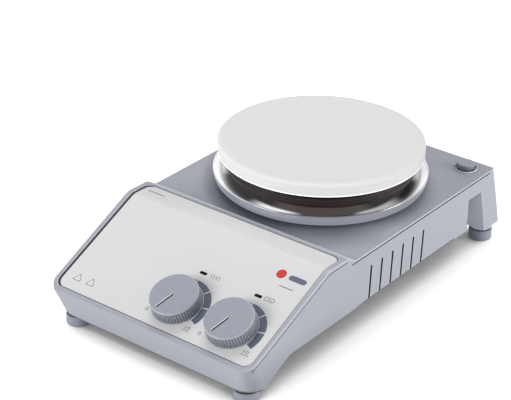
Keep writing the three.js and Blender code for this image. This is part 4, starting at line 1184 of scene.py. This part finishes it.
# Stack of three layers: radius, z, corner radius
STACK_EDGE = [
    (50, 69.1, 0), (61.4, 69.1, 0.3), (61.4, 70.4, 0.15), (60.7, 70.5, 0.1),
    (60.7, 70.8, 0.1), (62, 70.9, 0.3), (62, 72.7, 0.15), (61.45, 72.8, 0.1),
    (61.45, 73.2, 0.1), (62, 73.3, 0.15), (62, 75.8, 0.4), (50, 75.8, 0),
]
disc_piece(
    "insulation_stack", [(0, 69.1)] + fillet(STACK_EDGE, 3, False) + [(0, 75.8)],
    "insulation_board", "insulation_disc",
    merge(standoff_holes(60, 80), cylinder(2.0, 0, PLATE_Y, 60, 80, 20),
          cylinder(3, *SENSOR_HOLE, 60, 80, 20)))

# Bowl: (radius, z) up the inside, over the rim and down the outside
bowl_inner = smooth_line([(57, 60.45), (61.2, 60.75), (64.9, 61.8), (67.5, 64.1), (69.0, 66.8)])
bowl_rim = fillet([(69.0, 66.8, 0), (69.5, 67.75, 0.4), (70.35, 67.2, 0.5), (70.1, 65.6, 0)],
                  closed=False)
bowl_outer = smooth_line([(70.1, 65.6), (69.6, 62.9), (68.3, 60.7), (65.8, 59.7),
                          (61.2, 59.3), (57, 59.2)])
disc_piece(
    "drip_dish_bowl",
    [(30, 60.4)] + bowl_inner[:-1] + bowl_rim[:-1] + bowl_outer + [(30, 59.2)],
    "dish_steel", "drip_dish",
    merge(standoff_holes(55, 70), cylinder(3, *SENSOR_HOLE, 55, 70, 20)), seg=256, ring=True)


# ---------------------------------------------------------------- feet
def foot_part(name, corners, steps, x, y, mat, replaces=None):
    """Ring turned about the foot's axis; corners are radius, z, corner radius."""
    bm = lathe(fillet(corners, steps), 72, x, y, ring=True)
    finish(new_object(name, bm), mat, replaces)


BORE_R, FOOT_GAP = 2.3, 0.02
for row, (foot_x, y), top_z, pad_z, neck_shade_r in (
    ("front", FRONT_FOOT, CHIN_Z, 6.6, 7.1),
    ("rear", REAR_FOOT, LEG_Z - 0.2, 7.5, 7.5),
):
    rear = row == "rear"
    neck_z = 8.45 if rear else top_z
    for side_name, x in (("left", -foot_x), ("right", foot_x)):
        name = f"foot_{row}_{side_name}"
        foot_part(name + "_pad", [
            (BORE_R, 3.2, 0), (4.2, 3.2, 0), (4.2, 0, 0.3), (7.35, 0, 0.3),
            (7.9, 0.9, 0.5), (7.9, pad_z, 0.5), (BORE_R, pad_z, 0),
        ], 4, x, y, "foot_rubber", name)
        # Black ring round the foot's neck: painted shade in the gap between pad and housing.
        foot_part(name + "_collar", [
            (BORE_R, pad_z + FOOT_GAP, 0), (neck_shade_r, pad_z + FOOT_GAP, 0.15),
            (neck_shade_r, neck_z, 0.15), (BORE_R, neck_z, 0),
        ], 3, x, y, "black_plastic")
        if rear:
            foot_part(name + "_seat", [
                (BORE_R, neck_z + FOOT_GAP, 0), (7.8, neck_z + FOOT_GAP, 0.3),
                (8.0, top_z, 0.15), (BORE_R, top_z, 0),
            ], 3, x, y, "housing_paint")

# ---------------------------------------------------------------- plug of the rod socket
plug_head = fillet([(4.1, 56.6, 0), (5.9, 56.6, 0.3), (5.9, 61.4, 0.9), (0, 61.4, 0)],
                   closed=False)
plug = [(0, 49.5), (3.6, 49.5), (4.1, 50.2), (4.1, 56.6)] + plug_head[1:]
finish(new_object("socket_plug_cap", lathe(plug, 72, *ROD)), "knob_plastic",
       "rod_socket_plug", body="socket_plug")

# ---------------------------------------------------------------- rear: inlet and fuse drawer
inlet = new_object("inlet_flange",
                   prism(centred_rect(INLET_X, 16, -16, 14, 2.2, 6), 0.15, 2.0, on_rear))
bevel(inlet, 0.45)
boolean(inlet, prism(centred_rect(INLET_X, 14, -14, 12, 1, 4), -13.4, 1.0, on_rear), "UNION")
# Opening with its two lower corners cut off.
opening = [(21.5, 10), (21.5, 0), (25.5, -5), (40.5, -5), (44.5, 0), (44.5, 10)]
boolean(inlet, prism(fillet([(x, v, 1.2) for x, v in opening], 4), -11.5, 5, on_rear))
boolean(inlet, merge(
    prism(centred_rect(INLET_X, 11, -12.6, -6.6, 0.5, 3), -11.5, 5, on_rear),
    *[block(x - 1, x + 1, v, v + 4, -20, 0, on_rear)  # pin holes
      for x, v in ((INLET_X - 4, 3), (INLET_X + 4, 3), (INLET_X, -1.5))],
))
finish(inlet, "black_plastic", "mains_inlet")

drawer = new_object("fuse_drawer_front",
                    prism(centred_rect(INLET_X, 10.7, -12.3, -6.9, 0.4, 3), -11.2, 2.2, on_rear))
bevel(drawer, 0.3)
ridge = centred_rect(INLET_X, 3, -12.3, -11.35, 0.3, 3)
boolean(drawer, prism(ridge, 1.5, 3.2, on_rear), "UNION")
finish(drawer, "black_plastic", "fuse_drawer", body="fuse_holder")

# ---------------------------------------------------------------- rear: switch
bezel = new_object("switch_bezel",
                   prism(centred_rect(SWITCH_X, 9, -12.5, 11.5, 1.6, 6), 0.15, 1.9, on_rear))
bevel(bezel, 0.45)
boolean(bezel, prism(centred_rect(SWITCH_X, 7, -10.5, 9.5, 0.8, 4), -13, 1, on_rear), "UNION")
boolean(bezel, prism(centred_rect(SWITCH_X, 5.6, -9.3, 8.3, 0.4, 3), -11.5, 5, on_rear))
finish(bezel, "black_plastic", "switch_frame")

ROCK_COS, ROCK_SIN = math.cos(7 * DEG), math.sin(7 * DEG)
ROCKER_HALF = 8.4


def on_rocker(v, n, x):
    return on_rear(SWITCH_X + x, -0.5 + v * ROCK_COS - n * ROCK_SIN,
                   0.6 + v * ROCK_SIN + n * ROCK_COS)


def rocker_face(v):
    """Height of the dished face."""
    return 0.9 + 0.7 * (abs(v) / ROCKER_HALF) ** 1.6


def on_rocker_face(x, v, n):
    return on_rocker(v, rocker_face(v) + n, x)


face = [(v, rocker_face(v)) for v in (-ROCKER_HALF + 16.8 * i / 16 for i in range(17))]
rocker = new_object("rocker_cap", prism(
    [(-ROCKER_HALF, -1.5)] + face
    + [(ROCKER_HALF, -1.5), (6.5, -3.8), (3.2, -5.4), (-3.2, -5.4), (-6.5, -3.8)],
    -5.2, 5.2, on_rocker))
bevel(rocker, 0.35, angle=45)
finish(rocker, "black_plastic", "power_rocker", body="switch_rocker")

MARK_HIGH = INK_HIGH + 0.02
marks = merge(
    printed([(-0.35, 3.6), (0.35, 3.6), (0.35, 6.6), (-0.35, 6.6)], on_rocker_face, MARK_HIGH),
    flat_band(circle(1.5, 28, 0, -5.0), circle(0.95, 28, 0, -5.0), INK_LOW, MARK_HIGH,
              on_rocker_face),
)
finish(new_object("rocker_marks", marks), "ink_white",
       body="switch_rocker")

# ---------------------------------------------------------------- CAD nodes that stay
# Bevel width of each softened node, in metres
SOFTEN = {
    "base_cover": 0.00035, "power_board": 0.0003, "control_board": 0.0003,
    "motor_core": 0.0004, "motor_coil": 0.0012, "upper_bearing_bracket": 0.0003,
    "lower_bearing_bracket": 0.0003, "magnet_carrier": 0.0005, "cooling_fan": 0.0002,
    "magnet_north": 0.0004, "magnet_south": 0.0004, "inlet_pin_line": 0.0003,
    "inlet_pin_neutral": 0.0003, "inlet_pin_earth": 0.0003,
}
for name, node in NODES.items():
    if node.hide_render:
        continue
    slot = "heater_metal" if name.startswith("plate_standoff") else SLOT_OF[name]
    node.data.materials.clear()
    node.data.materials.append(MAT[slot])
    weld = node.modifiers.new("weld", "WELD")
    weld.merge_threshold = 0.000002
    flatten = node.modifiers.new("flat", "DECIMATE")
    flatten.decimate_type, flatten.angle_limit = "DISSOLVE", 1.0 * DEG
    if name in SOFTEN:
        edges = node.modifiers.new("edges", "BEVEL")
        edges.width, edges.segments = SOFTEN[name], 2
        edges.limit_method, edges.angle_limit = "ANGLE", 40 * DEG


# ---------------------------------------------------------------- floor
def floor_material():
    """White floor that glows, with painted shadow dimming it under and close round the housing."""
    albedo = 0.40
    glow_near = 0.88  # painted shadow: dimmer glow near the origin; it is 1 further out
    glow_bounced = 0.58  # share of the glow that lights other things
    mat = bpy.data.materials.new("floor_white")
    g = Graph(mat)
    bsdf = g.tree.nodes["Principled BSDF"]
    for key, value in (("Base Color", (albedo, albedo, albedo, 1)), ("Roughness", 0.9),
                       ("Specular IOR Level", 0.0), ("Emission Color", (1, 1, 1, 1))):
        bsdf.inputs[key].default_value = value
    place = g.node("TexCoord", "Object")
    reach = g.vector("LENGTH", g.vector("MULTIPLY", place, (1.25, 1.0, 0)), out="Value")
    fade = g.ease(reach, (0.10, 0.19), to=(glow_near, 1.0))
    # Painted contact shadow from ambient occlusion.
    contact = g.node("AmbientOcclusion", "AO", samples=12, Distance=0.07)
    soft = g.ease(contact, (0.20, 0.67), to=(0.08, 1.0))
    camera_ray = g.node("LightPath", "Is Camera Ray")
    share = g.ramp(camera_ray, (0, 1), to=(glow_bounced, 1.0))
    g.feed(bsdf.inputs["Emission Strength"], g.product(soft, fade, share))
    grit = g.node("TexNoise", "Fac", Scale=700, Vector=place)
    relief = g.node("Bump", "Normal", Strength=0.02, Distance=0.0001, Height=grit)
    g.feed(bsdf.inputs["Normal"], relief)
    return mat


floor_mesh = bmesh.new()
bmesh.ops.create_grid(floor_mesh, x_segments=8, y_segments=8, size=6)
floor = new_object("floor", floor_mesh)
floor.location = (0, 0, -0.00002)
floor.data.materials.append(floor_material())

# ---------------------------------------------------------------- camera
ELEVATION, ROLL = 27.97 * DEG, 0.96 * DEG
CAMERA_TARGET = Vector((-0.02676, 0.00063, 0.048))
CAMERA_DISTANCE = 1.16654

camera_data = bpy.data.cameras.new("camera")
camera = bpy.data.objects.new("camera", camera_data)
scene.collection.objects.link(camera)
back = Vector((math.sin(CAMERA_AZIMUTH) * math.cos(ELEVATION),
               -math.cos(CAMERA_AZIMUTH) * math.cos(ELEVATION), math.sin(ELEVATION)))
level = Vector((math.cos(CAMERA_AZIMUTH), math.sin(CAMERA_AZIMUTH), 0))
upright = back.cross(level)
right = level * math.cos(ROLL) + upright * math.sin(ROLL)
up = -level * math.sin(ROLL) + upright * math.cos(ROLL)
position = CAMERA_TARGET + back * CAMERA_DISTANCE
camera.matrix_world = Matrix((
    (right.x, up.x, back.x, position.x),
    (right.y, up.y, back.y, position.y),
    (right.z, up.z, back.z, position.z),
    (0, 0, 0, 1),
))
camera_data.sensor_fit = "HORIZONTAL"
camera_data.sensor_width = 36.0
camera_data.lens = 126.026771
camera_data.shift_x = 0.0019960861
camera_data.shift_y = -0.00099804305
camera_data.clip_start, camera_data.clip_end = 0.05, 30
scene.camera = camera

# ---------------------------------------------------------------- lights
LIGHT_AIM = Vector((0, 0, 0.03))


def area_light(name, location, size, power):
    data = bpy.data.lights.new(name, "AREA")
    data.shape = "RECTANGLE"
    data.size = data.size_y = size
    data.energy = power
    light = bpy.data.objects.new(name, data)
    scene.collection.objects.link(light)
    light.location = location
    light.rotation_mode = "QUATERNION"
    light.rotation_quaternion = (LIGHT_AIM - Vector(location)).to_track_quat("-Z", "Y")


area_light("key_front", location=(-0.75, -2.0, 0.75), size=1.0, power=25)
area_light("side_right", location=(1.9, 0.9, 0.5), size=0.9, power=25)
area_light("overhead", location=(-0.55, 0.6, 1.7), size=1.0, power=13)

# World: dimmer as a light than as seen directly or in reflections.
world = bpy.data.worlds.new("studio")
scene.world = world
g = Graph(world)
lighting = g.tree.nodes["Background"]
lighting.inputs["Strength"].default_value = 0.40
lighting.inputs["Color"].default_value = (1, 1, 1, 1)
seen = g.node("Background", "Background", Strength=0.85)
rays = g.node("LightPath", None)
is_seen = g.highest(rays["Is Camera Ray"], rays["Is Glossy Ray"])
shown = g.node("MixShader", "Shader", is_seen, lighting.outputs["Background"], seen)
g.feed(g.tree.nodes["World Output"].inputs["Surface"], shown)

scene.view_settings.view_transform = "Standard"
scene.view_settings.look = "None"
scene.view_settings.exposure = 0.0
scene.view_settings.gamma = 1.0
